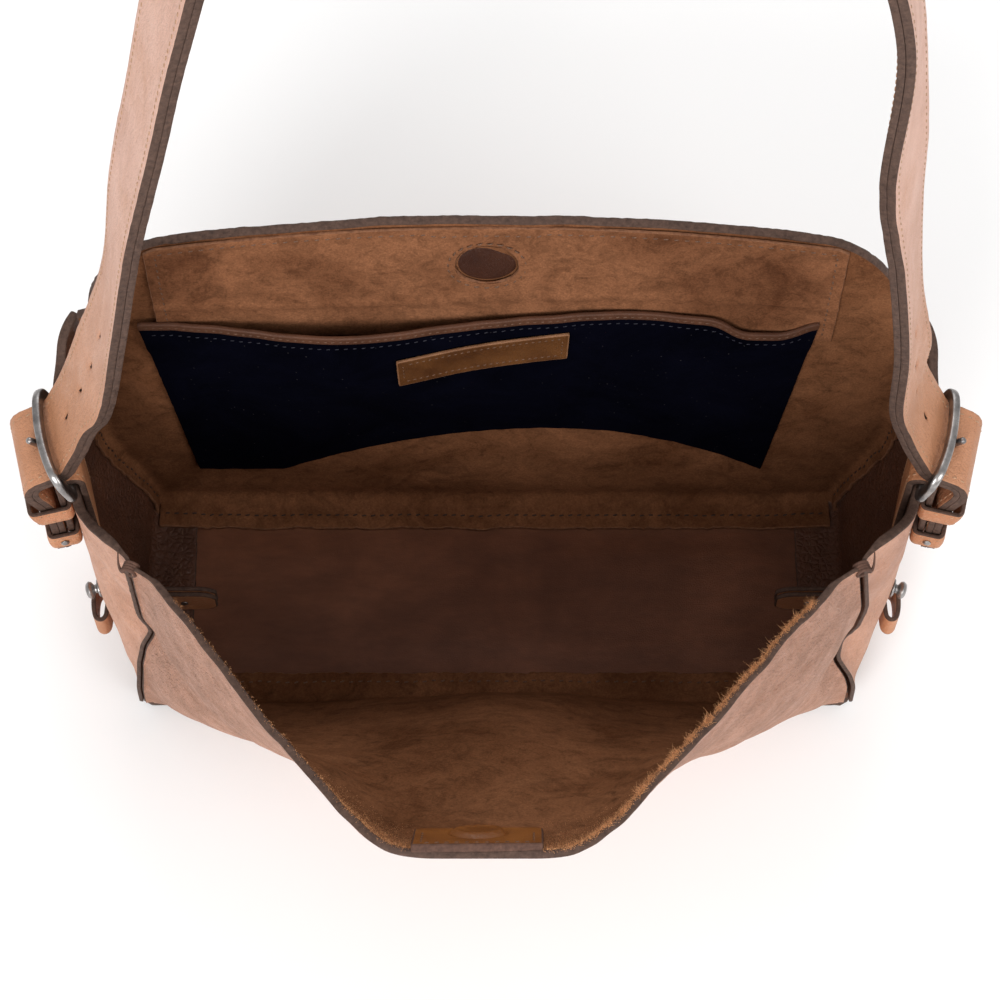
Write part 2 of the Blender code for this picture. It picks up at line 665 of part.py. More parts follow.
def build_keeper(side, name, bottom, top, out_bottom, out_top, mat, pivot=None):
    """Leather band round the strap's tail and the chape; its outer side may lean out."""
    inner = HIDE / 2 + 2 * GAP + KEEPER / 2
    half = STRAP_WIDTH / 2 + KEEPER_PLAY
    radius = 0.0016
    low = rounded_ring(inner, out_bottom, half, radius)
    high = rounded_ring(inner, out_top, half, radius)
    grid = [[on_side(side, n0, b0, bottom), on_side(side, n1, b1, top)]
            for (n0, b0), (n1, b1) in zip(low, high)]
    return sheet(name, grid, KEEPER, mat, closed=True, pivot=pivot)


def tail_profile():
    """The strap's end at a buckle, (out, up): tail, outward bulge, under the outer bar, up the leg."""
    return [(0.0122, 0.1090), (0.0122, 0.1210), (0.0122, 0.1350), (0.0124, 0.1470), (0.0134, 0.1560),
            (0.0156, 0.1640), (0.0180, 0.1705), (0.0186, 0.1765), (0.0160, 0.1815), (0.0105, 0.1836),
            (0.0044, 0.1860), (0.0002, 0.1905), (-0.0026, 0.1965), (-0.0076, 0.2070),
            (-0.0135, 0.2220)]


def strap_route():
    """Centre line and yaw of the whole strap, from the left tail over the top to the right tail."""
    route = []
    for n, k in tail_profile():
        route.append((*on_side(-1, n, 0.0, k), -SIDE_YAW))
    arch = [(-0.1715, 0.250, -20), (-0.1550, 0.313, -9), (-0.1418, 0.385, -12), (-0.1268, 0.450, -14),
            (-0.1100, 0.522, -15), (-0.0880, 0.590, -10), (-0.0480, 0.655, -5), (0.0120, 0.684, 0),
            (0.0740, 0.660, 2), (0.1130, 0.600, 3), (0.1390, 0.522, 5), (0.1500, 0.430, 22),
            (0.1595, 0.365, 14), (0.1690, 0.300, 12), (0.1765, 0.250, 22)]
    for x, z, yaw in arch:
        route.append((x, 0.0, z, math.radians(yaw)))
    for n, k in reversed(tail_profile()):
        route.append((*on_side(1, n, 0.0, k), SIDE_YAW))
    return spline(route)


def build_strap(outer_mat, lining_mat):
    dense = strap_route()
    lengths = np.concatenate([[0.0], np.cumsum(np.linalg.norm(np.diff(dense[:, :3], axis=0), axis=1))])
    total = lengths[-1]
    prong = prong_station(dense, lengths)
    holes = []
    for k in range(HOLES):
        holes.append(prong + HOLE_PITCH * k)
        holes.append(total - prong - HOLE_PITCH * k)
    edges = []
    for centre in holes:
        edges += [centre - HOLE_LENGTH / 2, centre + HOLE_LENGTH / 2]
    fine = prong + 0.030
    plain = list(np.arange(0.0, fine, 0.0045)) + list(np.arange(fine, total - fine, 0.016))
    plain += [total - s for s in np.arange(0.0, fine, 0.0045)]
    stations = sorted(edges + [s for s in plain if min(abs(s - e) for e in edges) > 0.0018])
    path, along = [], []
    for station in stations:
        row = [np.interp(station, lengths, dense[:, c]) for c in range(4)]
        path.append(row[:3])
        along.append((math.sin(row[3]), math.cos(row[3]), 0.0))
    spans = [(centre - HOLE_LENGTH / 2, centre + HOLE_LENGTH / 2) for centre in holes]

    def hole(i, j):
        middle = (stations[i] + stations[i + 1]) / 2
        return j == 1 and any(low < middle < high for low, high in spans)

    half = STRAP_WIDTH / 2
    offsets = [-half, -HOLE_WIDTH / 2, HOLE_WIDTH / 2, half]
    pivot = (0.0, 0.0, STRAP_HINGE_Z)
    ribbon("shoulder_strap", path, along, offsets, (PLY_GAP + STRAP_OUTER) / 2, STRAP_OUTER, outer_mat,
           hole, pivot=pivot)
    ribbon("strap_lining", path, along, offsets, -(PLY_GAP + STRAP_LINING) / 2, STRAP_LINING, lining_mat,
           hole, pivot=pivot)


def prong_station(dense, lengths):
    """Distance along the strap to the hole that the left prong passes through."""
    aim, length = prong_aim()
    tongue = [on_side(-1, PIVOT[0] + aim.x * reach, 0.0, PIVOT[1] + aim.y * reach)
              for reach in np.linspace(0.007, length, 30)]
    count = len(dense) // 2
    gaps = [min(np.linalg.norm(point - place) for place in tongue) for point in dense[:count, :3]]
    return lengths[int(np.argmin(gaps))]


# ---- side fittings ------------------------------------------------------------------------------
def build_stud(side, mat):
    name = "left_stud" if side < 0 else "right_stud"
    point, normal = on_gusset(side, STUD_Y, STUD_Z)
    face = HIDE / 2 + GAP
    knob = [(-HIDE / 2 - 0.0005, 0.0), (-HIDE / 2 - 0.0005, 0.0018), (face, 0.0018), (face, 0.0045),
            (face + 0.0012, 0.0045), (face + 0.0020, 0.0022), (face + 0.0040, 0.0021),
            (face + 0.0052, 0.0040), (face + 0.0070, 0.0046), (face + 0.0088, 0.0036),
            (face + 0.0095, 0.0)]
    lathe(name, knob, point, normal, mat)
    back = -HIDE / 2 - 3 * GAP
    screw = [(back - 0.0022, 0.0), (back - 0.0022, 0.0042), (back - 0.0010, 0.0050), (back, 0.0050),
             (back, 0.0026), (back - 0.0008, 0.0026), (back - 0.0008, 0.0)]
    lathe(name + "_screw", screw, point, normal, mat)


def build_side_loop(side, leather, metal):
    """A strip folded on itself: its closed end is riveted inside, its open loop stands outside."""
    name = "left_side_loop" if side < 0 else "right_side_loop"
    point, _ = on_gusset(side, LOOP_Y, LOOP_Z)
    leg = LOOP_T / 2 + 0.0004
    route = [(-0.041, leg), (-0.020, leg), (-0.006, leg), (0.0, leg), (0.0048, leg + 0.0004),
             (0.0080, 0.0046), (0.0112, 0.0044), (0.0138, 0.0008), (0.0138, -0.0060),
             (0.0112, -0.0120), (0.0080, -0.0142), (0.0054, -0.0120), (0.0048, -0.0060),
             (0.0040, -0.0020), (0.0020, -leg), (0.0, -leg), (-0.006, -leg), (-0.020, -leg),
             (-0.041, -leg)]
    path = [(side * (abs(point.x) + out), point.y + back, point.z) for out, back in route]
    along = [(0.0, 0.0, 1.0)] * len(path)
    half = LOOP_HALF_WIDTH
    ribbon(name, path, along, [-half, 0.0, half], 0.0, LOOP_T, leather)
    for index, inset in enumerate(RIVET_INSETS):
        heads = (leg + LOOP_T / 2 + GAP)
        centre = Vector((side * (abs(point.x) + inset), point.y, point.z))
        for face, sign in (("front", -1), ("back", 1)):
            head = [(heads, 0.0), (heads, 0.0018), (heads + 0.0005, 0.0017), (heads + 0.0009, 0.0)]
            rivet_name = "%s_rivet_%s_%d" % (name, face, index + 1)
            lathe(rivet_name, head, centre, (0, sign, 0), metal, 10)


def build_keepers(side, leather, metal):
    prefix = "left" if side < 0 else "right"
    build_keeper(side, prefix + "_fixed_keeper", *FIXED_KEEPER, 0.0195, 0.0222, leather)
    low, high = SLIDING_KEEPER
    centre = on_side(side, 0.009, 0.0, (low + high) / 2)
    build_keeper(side, prefix + "_sliding_keeper", low, high, 0.0172, 0.0172, leather, centre)
    half = STRAP_WIDTH / 2 + KEEPER_PLAY + KEEPER / 2 + GAP
    face = Vector(on_side(side, 0.0110, -half, (low + high) / 2))
    cap = [(0.0, 0.0), (0.0, 0.0020), (0.0006, 0.0019), (0.0011, 0.0011), (0.0013, 0.0)]
    lathe(prefix + "_keeper_rivet", cap, face, -Vector(side_axis(side)), metal, 12, centre)


def main():
    for obj in list(bpy.data.objects):
        bpy.data.objects.remove(obj, do_unlink=True)
    leather = material("tan_leather", LEATHER, 0.55)
    strap_leather = material("strap_leather", LEATHER_PALE, 0.50)
    flesh = material("flesh_side", FLESH, 0.90)
    base = material("base_leather", BASE_BROWN, 0.60)
    navy = material("navy_suede", NAVY, 0.95)
    label = material("label_leather", LABEL_BROWN, 0.45)
    metal = material("antique_gunmetal", METAL, 0.35, 1.0)
    build_base(base)
    build_back_panel(leather)
    build_front_panel(leather)
    build_facing(flesh)
    build_pocket(navy, flesh, label)
    build_closure(label, base, metal)
    build_strap(strap_leather, flesh)
    for side in (-1, 1):
        build_gusset(side, leather)
        build_chape(side, leather)
        build_frame(side, metal)
        build_prong(side, metal)
        build_keepers(side, leather, metal)
        build_stud(side, metal)
        build_side_loop(side, leather, metal)


main()
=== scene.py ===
"""Looks of the leather shoulder bag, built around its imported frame.

Metres, in the frame's axes: X across the bag, -Y to the front, +Z up, origin in the middle of the underside.
Soft pieces are sheets of leather laid over grids of points, with rounded raw edges, stitches and fibres.
"""
import math
import random

import bpy
import numpy as np
from mathutils import Matrix, Vector, kdtree, noise


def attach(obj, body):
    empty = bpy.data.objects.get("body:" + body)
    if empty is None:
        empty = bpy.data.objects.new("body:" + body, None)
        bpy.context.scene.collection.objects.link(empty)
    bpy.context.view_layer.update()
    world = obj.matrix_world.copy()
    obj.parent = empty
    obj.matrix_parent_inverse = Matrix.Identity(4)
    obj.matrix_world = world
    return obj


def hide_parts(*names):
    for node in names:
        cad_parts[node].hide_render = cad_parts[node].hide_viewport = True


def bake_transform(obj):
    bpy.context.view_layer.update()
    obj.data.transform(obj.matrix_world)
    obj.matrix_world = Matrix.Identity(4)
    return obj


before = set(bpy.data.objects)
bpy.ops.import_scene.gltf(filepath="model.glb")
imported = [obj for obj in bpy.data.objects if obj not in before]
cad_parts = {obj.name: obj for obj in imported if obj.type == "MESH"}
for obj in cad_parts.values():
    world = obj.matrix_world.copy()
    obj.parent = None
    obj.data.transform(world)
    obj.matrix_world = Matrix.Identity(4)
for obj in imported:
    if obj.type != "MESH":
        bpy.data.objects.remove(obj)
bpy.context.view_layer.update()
random.seed(7)

# ---- the bag's driving dimensions, as in the CAD ------------------------------------------------
GAP = 0.0003
HIDE = 0.0045
HALF_DEPTH = 0.0545
BASE_HALF_WIDTH = 0.1755
BODY_HEIGHT = 0.266
RIM_CROWN = 0.008
GUSSET_LOW = 0.166
GUSSET_HIGH = 0.190
BACK_FLANGE = 0.016
FRONT_FLANGE = 0.013
BASE_LAP = 0.0225
CLOSURE_X = -0.004
BACK_BOW = 0.010
SLIP = 0.0006
SEAM_CLEAR = 0.0024
SIDE_X = 0.194
SIDE_YAW = math.radians(14)
SIDE_FLAT = 0.0245
SIDE_CURVE = (9.0, 12.5)
GUSSET_BLEND = 0.09
MOUTH_RIM_Y = -0.2130
MOUTH_RIM_Z = 0.248
MOUTH_CORNER_X = 0.050
MOUTH_CORNER_Y = -0.2030
MOUTH_TURN = 0.30
MOUTH_FLAT = 0.6
MOUTH_BULGE = 0.026
MOUTH_FLARE = 0.32
FACING = 0.0015
FACING_HALF = 0.153
MAGNET_Z = 0.237
MAGNET_R = 0.0110
WINDOW_R = 0.0142
POCKET_X = -0.008
POCKET_HALF_WIDTH = 0.140
POCKET_LOW = 0.047
POCKET_ARCH = 0.044
LABEL_SLOPE = 0.12
RIM_DEPTH = 0.13                    # share of the front's height that stands steeper behind the tab
RIM_STEEP = 0.0100                  # how far its foot is pushed forward for that
TAB_HALF = 0.0255
TAB_SHIFT = -0.0035
TAB_TILT = 0.05
TAB_DROP = 0.0350
TAB_T = 0.0034
TAB_MAGNET = 0.0240
STRAP_WIDTH = 0.038
STRAP_OUTER = 0.0034
STRAP_LINING = 0.0028
HOLE_LENGTH = 0.0078
HOLE_WIDTH = 0.0038
HOLE_PITCH = 0.028
HOLES = 5
CHAPE = 0.0030
CHAPE_WIDTH = 0.036
CHAPE_FOOT = 0.112
KEEPER = 0.0020
KEEPER_PLAY = 0.0018
FIXED_KEEPER = (0.1500, 0.1600)
SLIDING_KEEPER = (0.1230, 0.1330)
BAR_R = 0.0024
PIVOT = (0.00115, 0.1745)
FRAME_REACH = 0.0195
FRAME_TILT = math.radians(14)
FRAME_HALF = 0.0235
FRAME_ARCH = 0.0030
PRONG_R = 0.0016
STUD_Y = -0.024
STUD_Z = 0.076
LOOP_Y = -0.020
LOOP_Z = 0.052
LOOP_HALF_WIDTH = 0.008
LOOP_T = 0.0022
RIVET_INSETS = (-0.016, -0.032)

FOLD_Z = HIDE + GAP + HIDE / 2      # where the panels' walls start above the base
FOLD_R = 0.0070                     # radius of the folds along the base
BASE_BACK = 0.0012                  # the base plate lies this far back, clear of the front's fold
MARGIN = 0.0020                     # leather skived thin where it is sewn or turned in
SEAM = 0.0042                       # raw margin that stands out of a front seam
SEAM_HUG = 0.0024                   # part of it that the front panel lies against
SIDE_MARGIN = 0.0078                # back panel's margin turned in over a gusset
# how far each front seam sinks towards the inside: height and depth
SEAM_SINK = {
    -1: ((0.038, 0.0), (0.075, 0.001), (0.097, 0.0045), (0.116, 0.0108), (0.134, 0.0068), (0.190, 0.0070)),
    1: ((0.040, 0.0), (0.056, 0.002), (0.080, 0.0085), (0.104, 0.0092), (0.121, 0.0034), (0.145, 0.0018),
        (0.190, 0.0072)),
}

MOUTH_SWING = math.radians(54.5)    # how far the mouth swings shut
SEWN = (0.0046, 0.0032)             # pitch and length of the stitches along margins
FINE = (0.0036, 0.0025)             # and of those on small pieces

# body names
BAG, STRAP, MOUTH = "bag", "strap", "front_mouth"


# ---- curves and meshes --------------------------------------------------------------------------
def smoothstep(value):
    value = min(max(value, 0.0), 1.0)
    return value * value * (3.0 - 2.0 * value)


def unit(vector):
    vector = np.asarray(vector, float)
    return vector / np.linalg.norm(vector)


def grain(x, y, z=0.0):
    """Smooth noise from about -1 to 1."""
    return noise.noise(Vector((x, y, z)))


def spline(points, per_segment=14):
    """Catmull-Rom curve through points of any dimension, as a dense list."""
    pts = [np.array(p, float) for p in points]
    pts = [2 * pts[0] - pts[1]] + pts + [2 * pts[-1] - pts[-2]]
    dense = []
    for p0, p1, p2, p3 in zip(pts, pts[1:], pts[2:], pts[3:]):
        for k in range(per_segment):
            t = k / per_segment
            dense.append(0.5 * (2 * p1 + (p2 - p0) * t + (2 * p0 - 5 * p1 + 4 * p2 - p3) * t * t
                                + (3 * p1 - p0 - 3 * p2 + p3) * t ** 3))
    dense.append(pts[-2])
    return np.array(dense)


def lengths_of(path):
    return np.concatenate([[0.0], np.cumsum(np.linalg.norm(np.diff(path[:, :3], axis=0), axis=1))])


def resample(path, stations):
    """Points at the given distances along a path."""
    path = np.asarray(path, float)
    lengths = lengths_of(path)
    return np.stack([np.interp(stations, lengths, path[:, c]) for c in range(path.shape[1])], 1)


def soften(path, radius, step=0.001):
    """Rounds a path's corners over about `radius` and keeps its ends."""
    path = np.asarray(path, float)
    total = lengths_of(path)[-1]
    count = max(8, int(total / step))
    even = resample(path, np.linspace(0.0, total, count))
    window = max(1, int(radius / step))
    for _ in range(2):
        head = 2 * even[0] - even[window:0:-1]
        tail = 2 * even[-1] - even[-2:-window - 2:-1]
        padded = np.concatenate([head, even, tail])
        kernel = np.ones(2 * window + 1) / (2 * window + 1)
        even = np.stack([np.convolve(padded[:, c], kernel, "valid") for c in range(padded.shape[1])], 1)
    return even


def even_stations(total, near, near_count, middle_count):
    """Distances along a path: closely spaced for `near` at both ends, wider between."""
    ends = np.linspace(0.0, near, near_count, endpoint=False)
    middle = np.linspace(near, total - near, middle_count, endpoint=False)
    return np.concatenate([ends, middle, total - ends[::-1] - ends[1]])


def new_object(name, verts, faces, materials, indices=None, smooth=True):
    mesh = bpy.data.meshes.new(name)
    mesh.from_pydata([tuple(v) for v in verts], [], faces)
    for mat in materials:
        mesh.materials.append(mat)
    if indices is not None:
        mesh.polygons.foreach_set("material_index", np.array(indices, np.int32))
    if smooth:
        mesh.shade_smooth()
    obj = bpy.data.objects.new(name, mesh)
    bpy.context.scene.collection.objects.link(obj)
    return obj


class Sheet:
    """A sheet of even thickness over rows x columns of points; its face side is cross(column, row)."""

    def __init__(self, grid, thickness, closed=False):
        self.mid = np.array(grid, float)
        self.half = np.broadcast_to(np.asarray(thickness, float) / 2, self.mid.shape[:2])
        self.closed = closed
        wrapped = self.mid
        if closed:
            wrapped = np.concatenate([self.mid[-1:], self.mid, self.mid[:1]])
        by_row = np.gradient(wrapped, axis=0)
        by_column = np.gradient(wrapped, axis=1)
        normal = np.cross(by_column, by_row)
        normal /= np.linalg.norm(normal, axis=2, keepdims=True)
        self.normal = normal[1:-1] if closed else normal

    def at(self, row, column, side=1.0, lift=0.0):
        """Point and normal on a face, at fractional places from 0 to 1."""
        rows, columns = self.mid.shape[:2]
        r, c = row * (rows - 1), column * (columns - 1)
        i, j = min(int(r), rows - 2), min(int(c), columns - 2)
        f, g = r - i, c - j
        weights = (((i, j), (1 - f) * (1 - g)), ((i, j + 1), (1 - f) * g),
                   ((i + 1, j), f * (1 - g)), ((i + 1, j + 1), f * g))
        point = sum(self.mid[k] * w for k, w in weights)
        half = sum(self.half[k] * w for k, w in weights)
        normal = unit(sum(self.normal[k] * w for k, w in weights)) * side
        return point + normal * (half + lift), normal

    def line(self, stops, side=1.0, lift=0.0, count=200):
        """Points and normals along straight runs between (row, column) stops on a face."""
        runs = len(stops) - 1
        found = []
        for k in range(count + 1):
            place = min(k / count * runs, runs - 1e-6)
            i = int(place)
            f = place - i
            found.append(self.at(stops[i][0] * (1 - f) + stops[i + 1][0] * f,
                                 stops[i][1] * (1 - f) + stops[i + 1][1] * f, side, lift))
        return np.array([p for p, _ in found]), np.array([n for _, n in found])

    def build(self, name, materials, skip=None, round_over=0.22, rough=0.0, rings=5, inner_edge=None):
        """The closed mesh: face side, back side and a rounded edge band, in the three materials.

        A fourth material goes on the edges whose middle line makes inner_edge true."""
        rows, columns = self.mid.shape[:2]
        cells = []
        for i in range(rows if self.closed else rows - 1):
            k = (i + 1) % rows
            for j in range(columns - 1):
                if skip is None or not skip(i, j):
                    a, b = i * columns + j, k * columns + j
                    cells.append((a, a + 1, b + 1, b))
        mid, normal, half = self.mid.reshape(-1, 3), self.normal.reshape(-1, 3), self.half.reshape(-1)
        used = np.unique(np.array(cells))
        place = np.full(len(mid), -1)
        place[used] = np.arange(len(used))
        count = len(used)
        offset = normal[used] * half[used][:, None]
        verts = list(mid[used] + offset) + list(mid[used] - offset)
        faces = [[int(place[v]) for v in cell] for cell in cells]
        faces += [[int(place[v]) + count for v in reversed(cell)] for cell in cells]
        indices = [0] * len(cells) + [1] * len(cells)
        directed = {(a, b) for cell in cells for a, b in zip(cell, cell[1:] + cell[:1])}
        border = [(a, b) for a, b in directed if (b, a) not in directed]
        border.sort()
        outward = {}
        for a, b in border:
            way = unit(mid[b] - mid[a])
            for v in (a, b):
                outward[v] = outward.get(v, 0.0) + np.cross(way, normal[v])
        band = {}
        for v, out in outward.items():
            out = unit(out)
            ring = [int(place[v])]
            for k in range(1, rings):
                angle = math.pi * k / rings
                high = math.copysign(abs(math.cos(angle)) ** 0.7, math.cos(angle))
                p = mid[v]
                shake = rough * grain(p[0] * 420 + k * 3.1, p[1] * 420, p[2] * 420)
                spread = round_over * 2 * half[v] * math.sin(angle) ** 0.6 + shake
                ring.append(len(verts))
                verts.append(p + normal[v] * half[v] * high + out * spread)
            ring.append(int(place[v]) + count)
            band[v] = ring
        for a, b in border:
            look = 3 if inner_edge is not None and inner_edge(mid[a]) else 2
            for k in range(rings):
                faces.append([band[b][k], band[a][k], band[a][k + 1], band[b][k + 1]])
                indices.append(look)
        return new_object(name, verts, faces, materials, indices)


def ribbon_grid(path, along, offsets, shift=0.0):
    """Grid of a strip that follows a path; `along` gives its width direction at each point."""
    path, along = np.asarray(path, float), np.asarray(along, float)
    normal = np.cross(np.gradient(path, axis=0), along)
    normal /= np.linalg.norm(normal, axis=1, keepdims=True)
    return [[path[i] + along[i] * o + normal[i] * shift for o in offsets] for i in range(len(path))]


def tube(name, centres, radii, materials, sides=12, closed=False, up=None, flat=1.0, square=1.0):
    """A bar along centres; `flat` squeezes it along `up`, `square` below 1 flattens its four sides."""
    centres = np.asarray(centres, float)
    count = len(centres)
    up = unit(up if up is not None else (0.0, 0.0, 1.0))
    verts, faces = [], []
    for i in range(count):
        after = centres[(i + 1) % count] if closed or i < count - 1 else centres[i]
        before = centres[i - 1] if closed or i > 0 else centres[i]
        tangent = unit(after - before)
        across = unit(np.cross(tangent, up))
        other = np.cross(across, tangent)
        for m in range(sides):
            angle = math.tau * m / sides
            wide = math.copysign(abs(math.cos(angle)) ** square, math.cos(angle))
            high = math.copysign(abs(math.sin(angle)) ** square, math.sin(angle))
            verts.append(centres[i] + (across * wide + other * high * flat) * radii[i])
    for i in range(count if closed else count - 1):
        k = (i + 1) % count
        for m in range(sides):
            n = (m + 1) % sides
            faces.append([i * sides + m, i * sides + n, k * sides + n, k * sides + m])
    if not closed:
        faces.append(list(range(sides))[::-1])
        faces.append([(count - 1) * sides + m for m in range(sides)])
    return new_object(name, verts, faces, materials)


def lathe(name, profile, origin, axis, materials, sides=28, round_steps=3):
    """A turned solid with softened corners; profile is (height, radius) along the axis."""
    dense = [np.array(profile[0], float)]
    for before, here, after in zip(profile, profile[1:], profile[2:]):
        before, here, after = (np.array(p, float) for p in (before, here, after))
        cut = min(0.0004, np.linalg.norm(here - before) / 3, np.linalg.norm(after - here) / 3)
        start, end = here + unit(before - here) * cut, here + unit(after - here) * cut
        for k in range(round_steps + 1):
            t = k / round_steps
            dense.append((1 - t) ** 2 * start + 2 * t * (1 - t) * here + t * t * end)
    dense.append(np.array(profile[-1], float))
    axis = Vector(axis).normalized()
    across = axis.orthogonal().normalized()
    third = axis.cross(across)
    verts, faces, rings = [], [], []
    for height, radius in dense:
        centre = Vector(origin) + axis * height
        if radius < 1e-7:
            rings.append([len(verts)])
            verts.append(centre)
            continue
        rings.append(list(range(len(verts), len(verts) + sides)))
        for k in range(sides):
            angle = math.tau * k / sides
            verts.append(centre + (across * math.cos(angle) + third * math.sin(angle)) * radius)
    for low, high in zip(rings, rings[1:]):
        for k in range(sides):
            m = (k + 1) % sides
            if len(low) == 1:
                faces.append([low[0], high[m], high[k]])
            elif len(high) == 1:
                faces.append([low[k], low[m], high[0]])
            else:
                faces.append([low[k], low[m], high[m], high[k]])
    return new_object(name, verts, faces, materials)


def stitches(name, lines, material, pitch=0.0042, length=0.0030, radius=0.00042, slant=0.18):
    """Rows of thread: each stitch is a small rounded bar half sunk in the leather."""
    sides, rings = 6, 5
    angles = np.linspace(0.0, math.tau, sides, endpoint=False)
    verts, faces = [], []
    for points, normals in lines:
        lengths = lengths_of(points)
        total = lengths[-1]
        for centre in np.arange(pitch * 0.6, total - pitch * 0.4, pitch):
            here, ahead = (np.array([np.interp(place, lengths, points[:, c]) for c in range(3)])
                           for place in (centre, min(centre + 0.0005, total)))
            normal = unit([np.interp(centre, lengths, normals[:, c]) for c in range(3)])
            way = ahead - here
            if np.linalg.norm(way) < 1e-9:
                continue
            way = unit(way)
            across = np.cross(normal, way)
            way = unit(way + across * slant)
            across = np.cross(normal, way)
            base = len(verts)
            for k in range(rings):
                t = -1.0 + 2.0 * k / (rings - 1)
                size = radius * (0.35 + 0.65 * math.sqrt(max(0.0, 1.0 - t ** 4)))
                middle = here + way * (t * length / 2) - normal * (radius * (0.15 + 1.1 * t ** 4))
                for angle in angles:
                    verts.append(middle + across * math.cos(angle) * size + normal * math.sin(angle) * size)
            for k in range(rings - 1):
                for m in range(sides):
                    n = (m + 1) % sides
                    faces.append([base + k * sides + m, base + k * sides + n,
                                  base + (k + 1) * sides + n, base + (k + 1) * sides + m])
            faces.append([base + m for m in range(sides)][::-1])
            faces.append([base + (rings - 1) * sides + m for m in range(sides)])
    return new_object(name, verts, faces, [material])


def fibres(name, roots, count, low, high, material, thickness=0.00011):
    """Loose leather fibres: roots(f) gives a point, an outward direction and how dense the fibres stand."""
    verts, faces = [], []
    made = 0
    while made < count:
        place = random.random()
        point, out, dense = roots(place)
        if random.random() > dense:
            continue
        made += 1
        way = unit(out + np.array([random.gauss(0, 0.55) for _ in range(3)]))
        curl = np.array([random.gauss(0, 0.5) for _ in range(3)])
        length = random.uniform(low, high) * (0.5 + random.random() ** 2) * (0.35 + 0.65 * dense)
        start = point + np.array([random.gauss(0, 0.0004) for _ in range(3)])
        side = unit(np.cross(way, (0.3, 0.2, 0.9)))
        other = np.cross(way, side)
        base = len(verts)
        segments = 4
        for k in range(segments + 1):
            t = k / segments
            centre = start + way * length * t + curl * length * t * t * 0.6
            size = thickness * (1.0 - 0.75 * t)
            for m in range(3):
                angle = math.tau * m / 3
                verts.append(centre + (side * math.cos(angle) + other * math.sin(angle)) * size)
        for k in range(segments):
            for m in range(3):
                n = (m + 1) % 3
                a = base + k * 3
                faces.append([a + m, a + n, a + 3 + n, a + 3 + m])
        faces.append([base + 2, base + 1, base])
        faces.append([base + segments * 3 + m for m in range(3)])
    return new_object(name, verts, faces, [material])


# ---- materials ----------------------------------------------------------------------------------
class Look:
    """A material as a short chain of nodes over the object's own coordinates; bumps are stacked."""

    def __init__(self, name, roughness=0.6, metallic=0.0, **sockets):
        self.material = bpy.data.materials.new(name)
        self.material.use_nodes = True
        tree = self.material.node_tree
        self.nodes, self.links = tree.nodes, tree.links
        self.shader = self.nodes["Principled BSDF"]
        self.shader.inputs["Roughness"].default_value = roughness
        self.shader.inputs["Metallic"].default_value = metallic
        for socket, value in sockets.items():
            self.shader.inputs[socket.replace("_", " ")].default_value = value
        self.point = self.nodes.new("ShaderNodeTexCoord").outputs["Object"]

    def add(self, kind, **inputs):
        node = self.nodes.new(kind)
        for name, value in inputs.items():
            self.feed(node.inputs[name.replace("_", " ")], value)
        return node

    def feed(self, socket, value):
        if isinstance(value, bpy.types.NodeSocket):
            self.links.new(value, socket)
        else:
            socket.default_value = value

    def stretched(self, x, y, z):
        return self.add("ShaderNodeMapping", Vector=self.point, Scale=(x, y, z)).outputs[0]

    def noise(self, scale, detail=3.0, roughness=0.55, point=None, distortion=0.0):
        node = self.add("ShaderNodeTexNoise", Vector=point or self.point, Scale=scale, Detail=detail,
                        Roughness=roughness, Distortion=distortion)
        return node.outputs["Fac"]

    def cells(self, scale, feature="DISTANCE_TO_EDGE", point=None):
        node = self.add("ShaderNodeTexVoronoi", Vector=point or self.point, Scale=scale)
        node.feature = feature
        return node.outputs["Distance"]

    def ramp(self, value, *stops):
        node = self.add("ShaderNodeValToRGB", Fac=value)
        elements = node.color_ramp.elements
        while len(elements) < len(stops):
            elements.new(0.5)
        for element, (place, colour) in zip(elements, stops):
            element.position = place
            element.color = (*colour, 1.0) if hasattr(colour, "__len__") else (colour, colour, colour, 1.0)
        return node.outputs["Color"]

    def mix(self, a, b, factor, mode="MIX"):
        node = self.nodes.new("ShaderNodeMix")
        node.data_type = "RGBA"
        node.blend_type = mode
        self.feed(node.inputs[0], factor)
        for socket, value in ((node.inputs[6], a), (node.inputs[7], b)):
            self.feed(socket, (*value, 1.0) if isinstance(value, tuple) else value)
        return node.outputs[2]

    def maths(self, operation, a, b=0.0):
        node = self.nodes.new("ShaderNodeMath")
        node.operation = operation
        self.feed(node.inputs[0], a)
        self.feed(node.inputs[1], b)
        return node.outputs[0]

    def height(self, axis="Z"):
        return self.add("ShaderNodeSeparateXYZ", Vector=self.point).outputs[axis]

    def bump(self, height, distance, strength=1.0):
        node = self.add("ShaderNodeBump", Height=height, Distance=distance, Strength=strength)
        current = self.shader.inputs["Normal"]
        if current.is_linked:
            self.links.new(current.links[0].from_socket, node.inputs["Normal"])
        self.links.new(node.outputs[0], current)

    def finish(self, colour, roughness=None):
        self.feed(self.shader.inputs["Base Color"], colour)
        if roughness is not None:
            self.feed(self.shader.inputs["Roughness"], roughness)
        return self.material


